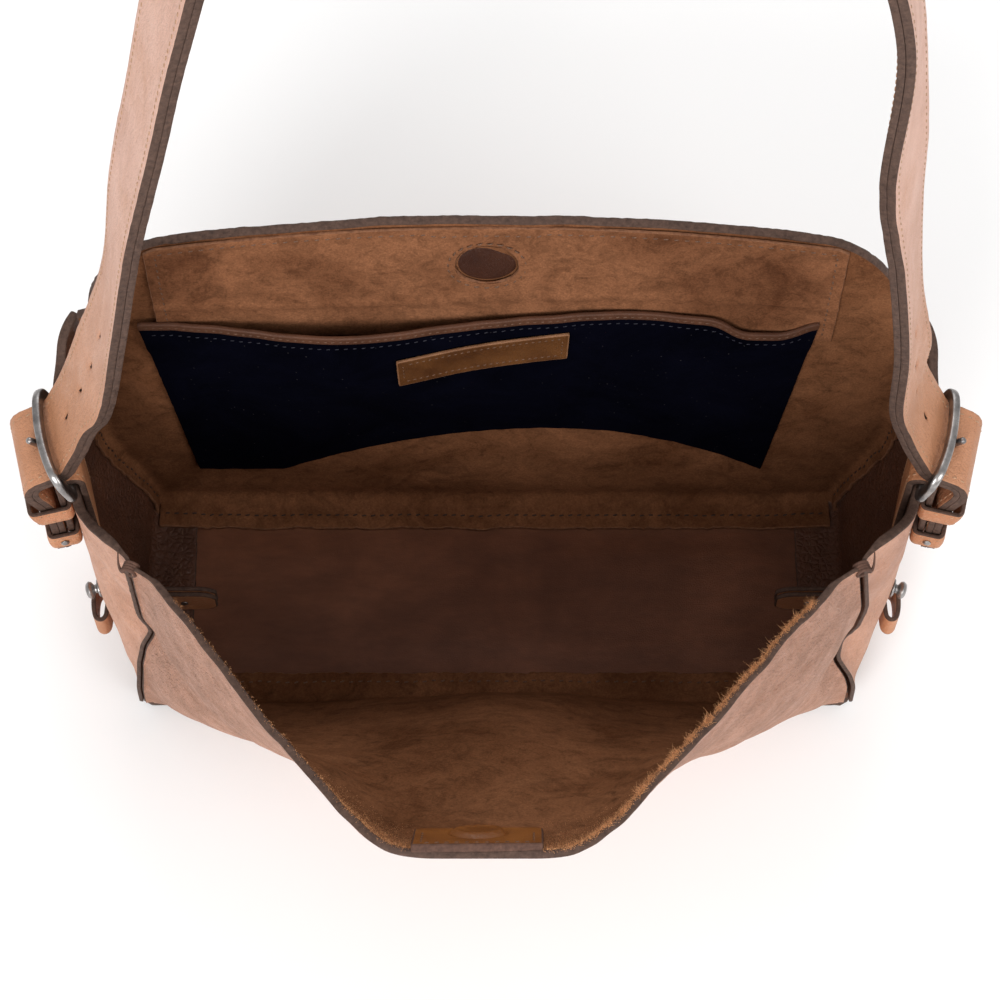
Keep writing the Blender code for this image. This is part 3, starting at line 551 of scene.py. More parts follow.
def tan_leather(name, dark, light, warm, stretch=(1.0, 1.0, 1.0), warm_below=None, creased=1.0):
    """Waxed full-grain leather: cloudy colour, fine grain, soft creases with painted shade in their grooves
    and painted light on their ridges, and small scuffs.
    """
    look = Look(name, 0.5, Specular_IOR_Level=0.42)
    stretched = look.stretched(*stretch)
    clouds = look.noise(9.0, 4.0, 0.6)
    colour = look.ramp(clouds, (0.30, dark), (0.55, light), (0.80, warm))
    if warm_below is not None:
        low, high = warm_below
        place = look.add("ShaderNodeMapRange", Value=look.height(), From_Min=low, From_Max=high).outputs[0]
        rich = look.ramp(look.noise(30.0, 3.0), (0.3, tuple(c * 0.88 for c in warm)), (0.7, warm))
        colour = look.mix(rich, colour, place)
    streaks = look.noise(70.0, 5.0, 0.65, stretched, 0.4)
    # painted shade and light: the crease pattern darkens the colour in its grooves and lightens it on its
    # ridges
    colour = look.mix(colour, look.ramp(streaks, (0.30, 0.74), (0.60, 1.06)), 0.55 * creased, "MULTIPLY")
    pores = look.cells(1050.0)
    colour = look.mix(colour, look.ramp(pores, (0.0, 0.72), (0.16, 1.0)), 0.45, "MULTIPLY")
    scuffs = look.noise(260.0, 6.0, 0.7, stretched)
    colour = look.mix(colour, look.ramp(scuffs, (0.62, 0.0), (0.74, 0.10)), 0.8, "ADD")
    look.bump(streaks, 0.0022 * creased, 0.6)
    look.bump(look.noise(330.0, 4.0, 0.6, stretched), 0.0008, 0.8)
    look.bump(look.ramp(look.cells(330.0, point=stretched), (0.0, 0.0), (0.30, 1.0)), 0.0007, 0.6 * creased)
    look.bump(look.ramp(pores, (0.0, 0.0), (0.14, 1.0)), 0.00013, 0.75)
    return look.finish(colour, look.ramp(streaks, (0.3, 0.62), (0.7, 0.42)))


def suede(name, dark, light, spot, scale=1.0, pale_rim=None):
    """Flesh side: brushed nap in cloudy patches with darker rubs, paler where a rim is fluffed up."""
    look = Look(name, 1.0, Specular_IOR_Level=0.04)
    clouds = look.noise(16.0 * scale, 6.0, 0.68, None, 0.7)
    colour = look.ramp(clouds, (0.28, dark), (0.60, light), (0.82, tuple(min(1, c * 1.18) for c in light)))
    rubs = look.noise(75.0 * scale, 6.0, 0.72, None, 1.2)
    colour = look.mix(colour, look.ramp(rubs, (0.34, 0.62), (0.56, 1.08)), 0.8, "MULTIPLY")
    nap = look.noise(950.0, 3.0, 0.75)
    colour = look.mix(colour, look.ramp(nap, (0.30, 0.66), (0.66, 1.22)), 0.85, "MULTIPLY")
    marks = look.noise(130.0, 2.0, 0.5)
    colour = look.mix(colour, spot, look.maths("MULTIPLY", look.ramp(marks, (0.64, 0.0), (0.72, 1.0)), 0.35))
    if pale_rim is not None:
        start, end, pale = pale_rim
        risen = look.add("ShaderNodeMapRange", Value=look.height(), From_Min=start, From_Max=end).outputs[0]
        fluff = look.ramp(look.noise(620.0, 4.0, 0.8), (0.34, tuple(c * 0.35 for c in pale)), (0.64, pale))
        colour = look.mix(colour, fluff, look.maths("MULTIPLY", risen, 0.85))
    look.bump(rubs, 0.0006, 0.5)
    look.bump(nap, 0.0003, 0.9)
    return look.finish(colour)


def raw_edge(name, dark, light):
    """Cut and burnished edge: dark layered fibres with lighter flecks painted in as highlights."""
    look = Look(name, 0.72, Specular_IOR_Level=0.25)
    layers = look.noise(420.0, 5.0, 0.7)
    colour = look.ramp(layers, (0.32, dark), (0.68, light))
    highlight_flecks = look.noise(150.0, 4.0, 0.7)
    # painted highlight: lighter flecks on the rough edge
    colour = look.mix(colour, tuple(c * 2.1 for c in light), look.ramp(highlight_flecks, (0.66, 0.0), (0.80, 0.55)))
    look.bump(layers, 0.0005, 0.9)
    look.bump(highlight_flecks, 0.0008, 0.4)
    return look.finish(colour)


def base_leather():
    """Dark smooth base: rubbed and slightly dusty."""
    look = Look("base_leather", 0.5, Specular_IOR_Level=0.35)
    clouds = look.noise(14.0, 6.0, 0.65, None, 0.5)
    colour = look.ramp(clouds, (0.30, (0.120, 0.042, 0.020)), (0.70, (0.225, 0.083, 0.041)))
    streaks = look.noise(60.0, 5.0, 0.7, look.stretched(0.5, 1.6, 1.0))
    colour = look.mix(colour, look.ramp(streaks, (0.34, 0.72), (0.66, 1.12)), 0.8, "MULTIPLY")
    dust = look.noise(520.0, 3.0, 0.8)
    colour = look.mix(colour, (0.30, 0.20, 0.14), look.ramp(dust, (0.70, 0.0), (0.80, 0.5)))
    pores = look.cells(900.0)
    look.bump(streaks, 0.0006, 0.4)
    look.bump(look.ramp(pores, (0.0, 0.0), (0.2, 1.0)), 0.0001, 0.6)
    return look.finish(colour, look.ramp(clouds, (0.3, 0.62), (0.7, 0.46)))


def navy_suede():
    """Nearly black blue suede with pale lint."""
    look = Look("navy_suede", 1.0, Specular_IOR_Level=0.02)
    clouds = look.noise(22.0, 6.0, 0.7, None, 0.8)
    colour = look.ramp(clouds, (0.35, (0.0008, 0.0009, 0.0030)), (0.70, (0.0022, 0.0024, 0.0070)))
    lint = look.cells(210.0, "F1")
    patchy = look.ramp(look.noise(45.0, 3.0), (0.42, 0.0), (0.60, 1.0))
    specks = look.maths("MULTIPLY", look.ramp(lint, (0.0, 1.0), (0.085, 0.0)), patchy)
    colour = look.mix(colour, (0.11, 0.10, 0.10), look.maths("MULTIPLY", specks, 0.75))
    nap = look.noise(900.0, 3.0, 0.75)
    look.bump(nap, 0.0003, 0.8)
    look.bump(clouds, 0.0020, 0.3)
    return look.finish(colour)


def smooth_leather(name, dark, light, roughness):
    """Small pieces of smooth dyed leather: label, tab, trim."""
    look = Look(name, roughness, Specular_IOR_Level=0.45)
    clouds = look.noise(55.0, 5.0, 0.6)
    colour = look.ramp(clouds, (0.30, dark), (0.70, light))
    pores = look.cells(1300.0)
    colour = look.mix(colour, look.ramp(pores, (0.0, 0.65), (0.18, 1.0)), 0.5, "MULTIPLY")
    look.bump(look.ramp(pores, (0.0, 0.0), (0.16, 1.0)), 0.00012, 0.8)
    look.bump(clouds, 0.0008, 0.3)
    return look.finish(colour)


def gunmetal():
    """Antiqued dark nickel: brighter where it is rubbed, darker in its hollows."""
    look = Look("antique_gunmetal", 0.3, 1.0)
    clouds = look.noise(120.0, 5.0, 0.65)
    colour = look.ramp(clouds, (0.30, (0.14, 0.13, 0.13)), (0.60, (0.36, 0.34, 0.33)),
                       (0.85, (0.52, 0.49, 0.47)))
    scratches = look.noise(500.0, 4.0, 0.7, look.stretched(0.3, 2.2, 0.3))
    look.bump(scratches, 0.00008, 0.5)
    return look.finish(colour, look.ramp(clouds, (0.3, 0.46), (0.7, 0.24)))


def thread(name, dark, light):
    """Waxed thread with its twist."""
    look = Look(name, 0.55, Specular_IOR_Level=0.4)
    twist = look.noise(1500.0, 2.0)
    colour = look.ramp(twist, (0.35, dark), (0.65, light))
    look.bump(twist, 0.0002, 0.7)
    return look.finish(colour)


# creased=1.45 deepens the creases on the panels and the painted shade in their grooves
OUTER = tan_leather("tan_leather", (0.33, 0.145, 0.080), (0.50, 0.245, 0.155), (0.42, 0.185, 0.10),
                    (0.45, 1.5, 1.7), creased=1.45)
SIDE = tan_leather("tan_side", (0.40, 0.18, 0.105), (0.55, 0.275, 0.175), (0.48, 0.215, 0.115),
                   (1.4, 0.7, 0.9))
STRAP_FACE = tan_leather("strap_leather", (0.56, 0.29, 0.20), (0.70, 0.41, 0.31), (0.55, 0.25, 0.13),
                         (1.2, 1.2, 0.5), (0.225, 0.40), 0.5)
FITTING = tan_leather("fitting_leather", (0.42, 0.165, 0.070), (0.53, 0.23, 0.11), (0.46, 0.185, 0.078),
                      creased=0.5)
FLESH_COLOURS = ((0.110, 0.041, 0.017), (0.225, 0.095, 0.044), (0.050, 0.020, 0.010))
INNER = suede("flesh_side", *FLESH_COLOURS)
FRONT_INNER = suede("front_flesh_side", *FLESH_COLOURS, 1.0, (0.222, 0.246, (0.42, 0.19, 0.085)))
FACING_LOOK = suede("facing_suede", (0.120, 0.046, 0.021), (0.255, 0.108, 0.052), (0.07, 0.026, 0.012), 1.3)
GUSSET_IN = tan_leather("gusset_inside", (0.066, 0.024, 0.012), (0.120, 0.045, 0.023), (0.095, 0.035, 0.017))
EDGE = raw_edge("raw_edge", (0.046, 0.025, 0.018), (0.108, 0.062, 0.045))
EDGE_BROWN = raw_edge("raw_edge_brown", (0.062, 0.030, 0.021), (0.130, 0.066, 0.046))
EDGE_TAN = raw_edge("raw_edge_tan", (0.120, 0.048, 0.024), (0.26, 0.115, 0.055))
BASE = base_leather()
NAVY = navy_suede()
TRIM = smooth_leather("trim_leather", (0.075, 0.028, 0.013), (0.135, 0.053, 0.026), 0.55)
LABEL = smooth_leather("label_leather", (0.080, 0.027, 0.007), (0.165, 0.064, 0.018), 0.42)
LABEL_EDGE = smooth_leather("label_edge", (0.20, 0.085, 0.035), (0.32, 0.15, 0.07), 0.6)
TAB = smooth_leather("tab_leather", (0.180, 0.056, 0.011), (0.340, 0.120, 0.026), 0.32)
DISC = smooth_leather("disc_leather", (0.045, 0.016, 0.010), (0.080, 0.030, 0.017), 0.38)
METAL = gunmetal()
THREAD = thread("thread_tan", (0.30, 0.16, 0.09), (0.50, 0.30, 0.18))
THREAD_DARK = thread("thread_brown", (0.085, 0.042, 0.024), (0.19, 0.10, 0.06))
THREAD_DEEP = thread("thread_deep_brown", (0.020, 0.009, 0.005), (0.052, 0.025, 0.014))
NAVY_THREAD = thread("thread_navy", (0.004, 0.005, 0.011), (0.013, 0.014, 0.026))
FIBRE = thread("loose_fibre", (0.55, 0.23, 0.09), (0.88, 0.46, 0.21))
FIBRE_BROWN = thread("loose_brown_fibre", (0.20, 0.082, 0.034), (0.42, 0.18, 0.078))


# ---- the bag's surfaces -------------------------------------------------------------------------
def side_x(y, z):
    """Distance of a gusset's mid-surface from the middle of the bag."""
    beyond = max(0.0, abs(y) - SIDE_FLAT)
    top = SIDE_X + math.tan(SIDE_YAW) * y - SIDE_CURVE[y > 0] * beyond ** 2
    return BASE_HALF_WIDTH + (top - BASE_HALF_WIDTH) * smoothstep(z / GUSSET_BLEND)


def gusset_top(y):
    rise = smoothstep((abs(y) - 0.022) / 0.036)
    return GUSSET_LOW + (GUSSET_HIGH - GUSSET_LOW) * rise


def back_y(x, z):
    across = max(0.0, 1.0 - (x / 0.18) ** 2)
    return HALF_DEPTH + HIDE / 2 + BACK_BOW * across * (z / BODY_HEIGHT) ** 2


def crowned(x, z):
    return z - RIM_CROWN * (x / 0.155) ** 2 * smoothstep((z - GUSSET_HIGH) / (BODY_HEIGHT - GUSSET_HIGH))


def back_half_width(z):
    inner = side_x(HALF_DEPTH + HIDE / 2, min(z, GUSSET_HIGH)) - HIDE / 2 - GAP - SEAM_CLEAR
    radius = BODY_HEIGHT - GUSSET_HIGH - 0.012
    above = z - (BODY_HEIGHT - radius)
    if above <= 0.0:
        return inner
    return inner - 0.006 - (radius * 0.62) * (1.0 - math.sqrt(max(0.0, 1.0 - (above / radius) ** 2)))


def seam_y(z):
    return -(HALF_DEPTH + HIDE / 2) - 0.004 * min(z / GUSSET_HIGH, 1.0)


def seam_sink(side, z):
    heights, depths = zip(*SEAM_SINK[side])
    return sum(np.interp(z + k * 0.004, heights, depths) * w for k, w in ((-1, 0.25), (0, 0.5), (1, 0.25)))


def seam_point(side, z):
    """The gusset's mid-surface at its front seam, which sinks and buckles inwards higher up."""
    return np.array([side * (side_x(seam_y(z), z) - seam_sink(side, z)), seam_y(z), z])


def seam_way(side, z):
    """Direction in which the raw margins stand out of a front seam: forwards, then outwards higher up."""
    return unit((side * (0.10 + 0.28 * smoothstep(z / GUSSET_HIGH)), -1.0, 0.0))


def seam_across(side, z):
    """Level direction from the gusset's margin to the front panel's."""
    way = seam_way(side, z)
    return np.array([side * way[1], -side * way[0], 0.0])


def seam_length(z):
    return SEAM * (0.45 + 0.55 * smoothstep((z - 0.012) / 0.035))


def skived(distance):
    """Thickness of a panel at a distance from its sewn edge."""
    return MARGIN + (HIDE - MARGIN) * smoothstep((distance - SEAM - 0.002) / 0.014)


def flange_z(x):
    """Mid-surface of the front and back margins over the base, and over the gussets' laps at the ends."""
    over_lap = smoothstep((abs(x) - BASE_HALF_WIDTH + BASE_LAP + 0.006) / 0.005)
    return HIDE + GAP + MARGIN / 2 + (MARGIN + GAP) * over_lap


def rim_point(u):
    """Front rim of the open mouth, u from -1 (left seam) to 1 (right seam)."""
    side = -1.0 if u < 0 else 1.0
    seam = np.array([side * (side_x(seam_y(GUSSET_HIGH), GUSSET_HIGH) - HIDE / 2 - GAP - SEAM_CLEAR),
                     seam_y(GUSSET_HIGH), GUSSET_HIGH])
    corner = np.array([CLOSURE_X + side * MOUTH_CORNER_X, MOUTH_CORNER_Y, MOUTH_RIM_Z - 0.002])
    middle = np.array([CLOSURE_X, MOUTH_RIM_Y, MOUTH_RIM_Z])
    if abs(u) >= MOUTH_TURN:
        run = (1.0 - abs(u)) / (1.0 - MOUTH_TURN)
        return seam + (corner - seam) * run
    across = abs(u) / MOUTH_TURN
    point = middle + (corner - middle) * across
    bend = max(0.0, across - MOUTH_FLAT) / (1.0 - MOUTH_FLAT)
    point[1:] = middle[1:] + (corner[1:] - middle[1:]) * bend ** 1.4
    return point


def front_point(u, t):
    """Mid-surface of the front panel, u across, t from the base fold (0) to the rim (1)."""
    base = np.array([u * (BASE_HALF_WIDTH - HIDE / 2 - GAP - SLIP), -(HALF_DEPTH + HIDE / 2), FOLD_Z])
    soft = 0.045
    rim = sum(rim_point(min(1.0, max(-1.0, u + k * soft))) * w for k, w in ((-1, 0.25), (0, 0.5), (1, 0.25)))
    flare = 1.0 + MOUTH_FLARE * (1.0 - u ** 2)
    point = base + (rim - base) * np.array([t, t ** flare, t])
    point[1] -= MOUTH_BULGE * 4.0 * t * (1.0 - t) * 4.0 * u ** 2 * (1.0 - u ** 2)
    return point


def on_side(side, n, b, k):
    """World point beside a gusset: n out from its mid-surface, b along it to the back, k up."""
    x = SIDE_X + n * math.cos(SIDE_YAW) + b * math.sin(SIDE_YAW)
    return np.array([side * x, -n * math.sin(SIDE_YAW) + b * math.cos(SIDE_YAW), k])


def side_axis(side):
    return np.array([side * math.sin(SIDE_YAW), math.cos(SIDE_YAW), 0.0])


def on_gusset(side, y, z):
    """Point and outward normal of the gusset's mid-surface."""
    step = 0.001
    dy = (side_x(y + step, z) - side_x(y - step, z)) / (2 * step)
    dz = (side_x(y, z + step) - side_x(y, z - step)) / (2 * step)
    return np.array([side * side_x(y, z), y, z]), unit((side, -dy, -dz))


def word(side):
    return "left" if side < 0 else "right"


# ---- attaching pieces ---------------------------------------------------------------------------
def finish_as(nodes):
    if nodes:
        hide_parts(*nodes)


def with_body(obj, body, slot, *nodes):
    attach(obj, body)
    finish_as(nodes)


def with_bag(obj, slot, *nodes):
    with_body(obj, BAG, slot, *nodes)


class MouthBend:
    """How much of the tab's swing the front's leather follows: none at seams and base, all at the tab."""

    def __init__(self, grid, shares):
        self.points, self.shares = grid.reshape(-1, 3), shares.reshape(-1)
        down, over = np.gradient(grid, axis=0), np.gradient(grid, axis=1)
        by_row, by_column = np.gradient(shares)
        dd, do, oo = ((p * q).sum(2) for p, q in ((down, down), (down, over), (over, over)))
        area = np.maximum(dd * oo - do ** 2, 1e-14)
        row_part = (by_row * oo - by_column * do) / area
        column_part = (by_column * dd - by_row * do) / area
        slopes = down * row_part[..., None] + over * column_part[..., None]
        self.slopes = (slopes + self.thickness_slope(grid, shares)).reshape(-1, 3)
        self.tree = kdtree.KDTree(len(self.points))
        for index, point in enumerate(self.points):
            self.tree.insert(point, index)
        self.tree.balance()

    @staticmethod
    def thickness_slope(grid, shares):
        """Change of the share through the leather that keeps its thickness when the mouth is closed."""
        cos, sin = math.cos(MOUTH_SWING), math.sin(MOUTH_SWING)
        swing = np.array([[1.0, 0.0, 0.0], [0.0, cos, sin], [0.0, -sin, cos]])
        pivot = np.array([0.0, -HALF_DEPTH, HIDE])
        shift = (grid - pivot) @ swing.T + pivot - grid
        weight = shares[..., None]
        before, after = Sheet(grid, 0.0).normal, Sheet(grid + shift * weight, 0.0).normal
        carried = before * (1.0 - weight) + before @ swing.T * weight
        reach = (shift * after).sum(2)
        reach = np.where(np.abs(reach) < 0.02, np.copysign(0.02, reach), reach)
        lift = (1.0 - (carried * after).sum(2)) / reach
        return before * np.clip(lift, -20.0, 20.0)[..., None]

    def share(self, point):
        """The nearest grid point's share, corrected for the distance along the leather."""
        _, index, _ = self.tree.find(point)
        along = float(self.slopes[index] @ (np.array(point) - self.points[index]))
        return min(1.0, max(0.0, self.shares[index] + min(0.06, max(-0.06, along))))


def with_mouth(obj, slot, bend, *nodes):
    """Bakes a piece on the front panel into world space and works out each vertex's share of the tab's swing
    from the panel's shares.
    """
    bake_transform(obj)
    shares = [bend.share(vertex.co) for vertex in obj.data.vertices]
    finish_as(nodes)


def with_strap(obj, slot, *nodes):
    """Bakes a strap piece into world space."""
    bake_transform(obj)
    finish_as(nodes)


# ---- body panels --------------------------------------------------------------------------------
def fold_profile(cut, wall):
    """From a margin's cut edge in over the base and round the fold: (level, share of the fold's rise)."""
    sign = 1.0 if wall > cut else -1.0
    profile = [(cut + (wall - sign * FOLD_R - cut) * k / 7, 0.0) for k in range(8)]
    for k in range(1, 7):
        angle = math.pi / 2 * k / 7
        profile.append((wall - sign * FOLD_R * (1 - math.sin(angle)), 1 - math.cos(angle)))
    return profile


def turned_in(lowest, cut, wall, depth, tear):
    """Rows of a margin turned in over the base, from its torn cut edge to the wall's lowest row."""
    rows = []
    for y, rise in fold_profile(cut, wall):
        share = min(1.0, abs(wall - y) / depth)
        row = []
        for p in lowest:
            low = flange_z(p[0])
            torn = (0.0013 * grain(p[0] * 55, tear) + 0.0010 * grain(p[0] * 300, tear + 4)) * share ** 2
            row.append((p[0], y + (p[1] - wall) * (1 - share) + torn, low + (p[2] - low) * rise))
        rows.append(row)
    return rows


def build_front_panel():
    """Front: turned in over the base, its seam margins standing outwards, its rim pulled down and open."""
    wall = -(HALF_DEPTH + HIDE / 2)
    rows = []
    t_first = FOLD_R / (GUSSET_HIGH - FOLD_Z)
    levels = np.concatenate([np.linspace(t_first, 0.1, 5, endpoint=False), np.linspace(0.1, 1.0, 70)])
    near, near_count, middle_count = 0.026, 20, 170
    for t in levels:
        z_seam = FOLD_Z + (GUSSET_HIGH - FOLD_Z) * t
        ends = {}
        for side in (-1, 1):
            foot = seam_point(side, z_seam) + seam_across(side, z_seam) * (MARGIN + GAP)
            hug = SEAM_HUG * seam_length(z_seam) / SEAM
            root = foot + seam_way(side, z_seam) * hug
            tip = foot + seam_way(side, z_seam) * seam_length(z_seam)
            ends[side] = (tip, root)
        inner = []
        for u in np.linspace(-0.955, 0.955, 110):
            p = front_point(u, t)
            side = -1 if u < 0 else 1
            p[0] -= side * seam_sink(side, z_seam) * smoothstep((abs(u) - 0.55) / 0.42)
            p[1] -= hug * smoothstep((abs(u) - 0.72) / 0.22)
            hold = smoothstep((1.0 - abs(u)) / 0.16)
            still = 1.0 - smoothstep((0.24 - abs(u)) / 0.08) * smoothstep((t - 0.75) / 0.2)
            wave = 0.0026 * grain(u * 2.4, t * 2.6, 3.0) + 0.0013 * grain(u * 7.0, t * 6.0, 9.0)
            slope = t + 0.55 * abs(u)
            crease = 0.0013 * grain(u * 6.0, slope * 30.0, 1.7) + 0.0008 * grain(u * 22.0, slope * 70.0, 7.7)
            p[1] += (wave + crease * smoothstep((t - 0.25) / 0.4)) * hold * still * smoothstep(t / 0.12)
            p[2] += 0.0018 * grain(u * 5.0, 4.4) * smoothstep((t - 0.8) / 0.2) * hold * still
            depth = (1.0 - t) / RIM_DEPTH
            steep = depth / (1.0 + depth ** 6) ** (1 / 6) * smoothstep((t - 0.50) / 0.33)
            p[1] -= RIM_STEEP * steep * smoothstep((0.50 - abs(u)) / 0.30)
            inner.append(p)
        raw = [ends[-1][0], ends[-1][1], *inner, ends[1][1], ends[1][0]]
        path = soften(raw, 0.0026)
        total = lengths_of(path)[-1]
        rows.append(resample(path, even_stations(total, near, near_count, middle_count)))
    lowest = rows[0]
    flange = turned_in(lowest, -(HALF_DEPTH - FRONT_FLANGE), wall, FRONT_FLANGE, 2.0)
    grid = np.array(flange + rows)
    seam_free = np.abs(lowest[:, 0]) < BASE_HALF_WIDTH - MARGIN - 0.0035
    first = int(np.argmax(seam_free))
    last = int(len(lowest) - 1 - np.argmax(seam_free[::-1]))
    turned = len(flange)

    def skip(i, j):
        return i < turned and not first <= j < last

    thickness = np.empty(grid.shape[:2])
    for i in range(len(grid)):
        lengths = lengths_of(grid[i])
        up = max(0.0, grid[i][90][2] - FOLD_Z)
        near_rim = 1.0 - 0.22 * smoothstep((i / (len(grid) - 1) - 0.75) / 0.2)
        for j, station in enumerate(lengths):
            edge = min(station, lengths[-1] - station)
            thickness[i, j] = min(skived(edge), MARGIN + (HIDE - MARGIN) * smoothstep(up / 0.02)) * near_rim
    thickness = np.maximum(thickness, MARGIN)
    sheet = Sheet(grid, thickness)
    panel = sheet.build("front_panel_leather", [OUTER, FRONT_INNER, EDGE, EDGE_TAN], skip, rough=0.0004,
                        inner_edge=lambda p: p[2] < FOLD_Z + 0.003)
    shares = np.empty(grid.shape[:2])
    for i in range(len(grid)):
        t = max(0.0, (i - turned) / (len(rows) - 1))
        risen = smoothstep(t / 0.84)
        for j, point in enumerate(grid[i]):
            u = point[0] / BASE_HALF_WIDTH * (1.0 + 0.1 * t)
            shares[i, j] = risen * (1.0 - smoothstep((abs(u) - 0.20) / 0.70))
    bend = MouthBend(grid, shares)
    with_mouth(panel, "tan_leather", bend, "front_panel")
    total_rows, columns = len(grid) - 1, grid.shape[1] - 1
    sewn = 3.4 / total_rows
    lines = [sheet.line([(sewn, (first + 3) / columns), (sewn, (last - 3) / columns)], -1.0, 0.0, 400)]
    thread_rows = stitches("front_base_stitches", lines, THREAD_DARK, *SEWN)
    with_mouth(thread_rows, "tan_leather", bend)
    return sheet, bend


def front_rim_fibres(sheet, bend):
    """Frayed fibres inside the front rim, thicker to the right, and raised nap beside the tab."""
    up = np.array([0.0, 0.0, 1.0])

    def beside_tab(point):
        return abs(point[0] - CLOSURE_X - TAB_SHIFT) - TAB_HALF

    def roots(place):
        point, normal = sheet.at(1.0, 0.10 + 0.80 * place, -1.0, 0.0001 - 0.0013 * random.random())
        dense = 0.16 + 0.84 * smoothstep((place - 0.5) / 0.2) if beside_tab(point) > 0.001 else 0.0
        clump = 0.35 + 0.65 * smoothstep(grain(place * 70.0, 1.0) * 2.2 + 0.5)
        return point + up * 0.0004, normal * 0.65 + up * 0.45, dense * clump

    def long_roots(place):
        point, out, dense = roots(place)
        return point, out, dense * smoothstep((place - 0.48) / 0.2 + 0.25)

    def nap_roots(place):
        depth = random.random() ** 1.6
        point, normal = sheet.at(1.0 - 0.16 * depth, 0.26 + 0.48 * place, -1.0, -0.0001)
        away = beside_tab(point)
        dense = smoothstep((0.046 - away) / 0.040) * (1.0 - 0.75 * depth) if away > 0.0005 else 0.0
        return point, normal * 0.7 + up * 0.3, dense

    sets = (("front_rim_fibres", roots, 4200, 0.0006, 0.0017, FIBRE, 0.00011),
            ("front_rim_brown_fibres", roots, 3600, 0.0006, 0.0018, FIBRE_BROWN, 0.00012),
            ("front_rim_long_fibres", long_roots, 1900, 0.0016, 0.0036, FIBRE, 0.00010),
            ("front_rim_nap", nap_roots, 5200, 0.0005, 0.0012, FIBRE, 0.00010),
            ("front_rim_brown_nap", nap_roots, 4200, 0.0005, 0.0012, FIBRE_BROWN, 0.00011))
    for name, place, count, short, long, look, size in sets:
        with_mouth(fibres(name, place, count, short, long, look, size), "tan_leather", bend)


def seam_stitches(side):
    """Thread through both margins of a front seam, on the gusset's outer face."""
    points, normals = [], []
    for z in np.linspace(0.014, GUSSET_HIGH - 0.006, 60):
        out = -seam_across(side, z)
        points.append(seam_point(side, z) + seam_way(side, z) * 0.0012 + out * (MARGIN / 2 - 0.0001))
        normals.append(out)
    line = (np.array(points), np.array(normals))
    row = stitches("%s_front_seam_stitches" % word(side), [line], THREAD, 0.0050, 0.0036, 0.0005)
    with_bag(row, "tan_leather")


def build_tack(side):
    """Worn binding thread round the top of a front seam, with a loose end."""
    up = np.array([0.0, 0.0, 1.0])
    z = GUSSET_HIGH - 0.0024
    way, across = seam_way(side, z), seam_across(side, z)
    start = seam_point(side, z) + across * (MARGIN + GAP) / 2
    path = []
    for k in range(57):
        angle = math.tau * 3.5 * k / 56
        run = 0.0006 + 0.0044 * k / 56
        path.append(start + way * run + across * 0.0030 * math.cos(angle) + up * 0.0034 * math.sin(angle))
    last = path[-1]
    for k in range(1, 13):
        share = k / 12
        path.append(last - across * 0.0040 * share + up * 0.0050 * share ** 1.5 - way * 0.0060 * share ** 2)
    radii = [0.0009 + 0.0002 * grain(k * 0.7, side * 3.0) for k in range(57)]
    radii += list(np.linspace(0.0008, 0.0003, 12))
    body = tube("%s_corner_tack" % word(side), path, radii, [EDGE_BROWN], 8)
    with_bag(body, "tan_leather")


def gusset_dent(side, y, z):
    """How far the gusset is pushed in: its seam's fold slants up and fades out to the back."""
    near_seam = smoothstep((-y - 0.020) / 0.036)
    slanted = z - 0.9 * max(0.0, y - seam_y(z)) * smoothstep((0.175 - z) / 0.03)
    back = 0.0016 * math.exp(-((y - 0.042) / 0.010) ** 2) * smoothstep(z / 0.06)
    return seam_sink(side, slanted) * near_seam + back


def gusset_sheet(side):
    """The gusset's sheet from its cut edge over the base to its top, and its first and last whole column."""
    end_y = HALF_DEPTH + HIDE + 0.004
    first_z = FOLD_Z + FOLD_R
    rows = []
    for t in np.linspace(0.0, 1.0, 72):
        seam_z = first_z + (gusset_top(-HALF_DEPTH - 0.004) - first_z) * t
        root = seam_point(side, seam_z)
        raw = [root + seam_way(side, seam_z) * seam_length(seam_z), root]
        for y in np.linspace(-HALF_DEPTH + 0.003, end_y, 64):
            z = first_z + (gusset_top(y) - first_z) * t
            if z > 0.10:
                fitted = smoothstep((abs(y) - 0.018) / 0.012)
            else:
                fitted = smoothstep((abs(y + 0.022) - 0.012) / 0.015)
            x = side_x(y, z) - gusset_dent(side, y, z)
            x += fitted * (0.0013 * grain(y * 40, z * 30, side * 5.0)
                           + 0.0005 * grain(y * 120, z * 90, side * 2.0))
            raw.append(np.array([side * x, y, z]))
        path = soften(raw, 0.0024)
        total = lengths_of(path)[-1]
        rows.append(resample(path, even_stations(total, 0.018, 14, 72)))
    lowest = rows[0]
    cut = BASE_HALF_WIDTH - BASE_LAP
    flange = []
    for x, rise in fold_profile(cut, BASE_HALF_WIDTH):
        share = max(0.0, (BASE_HALF_WIDTH - x) / BASE_LAP)
        low = HIDE + GAP + MARGIN / 2
        row = []
        for p in lowest:
            torn = (0.0006 * grain(p[1] * 70, side * 3.0) + 0.0003 * grain(p[1] * 330, 8.0)) * share
            row.append((side * (x + (abs(p[0]) - BASE_HALF_WIDTH) * (1 - share)) + torn, p[1],
                        low + (p[2] - low) * rise))
        flange.append(row)
    grid = np.array(flange + rows)
    if side > 0:
        grid = grid[:, ::-1]
        lowest = lowest[::-1]
    inside = np.abs(lowest[:, 1]) < HALF_DEPTH - 0.0014
    first = int(np.argmax(inside))
    last = int(len(inside) - 1 - np.argmax(inside[::-1]))
    thickness = np.empty(grid.shape[:2])
    for i in range(len(grid)):
        lengths = lengths_of(grid[i])
        up = max(0.0, grid[i][40][2] - FOLD_Z)
        for j, station in enumerate(lengths):
            edge = station if side < 0 else lengths[-1] - station
            thickness[i, j] = min(skived(edge), MARGIN + (HIDE - MARGIN) * smoothstep(up / 0.02))
    return Sheet(grid, thickness), first, last, len(flange)


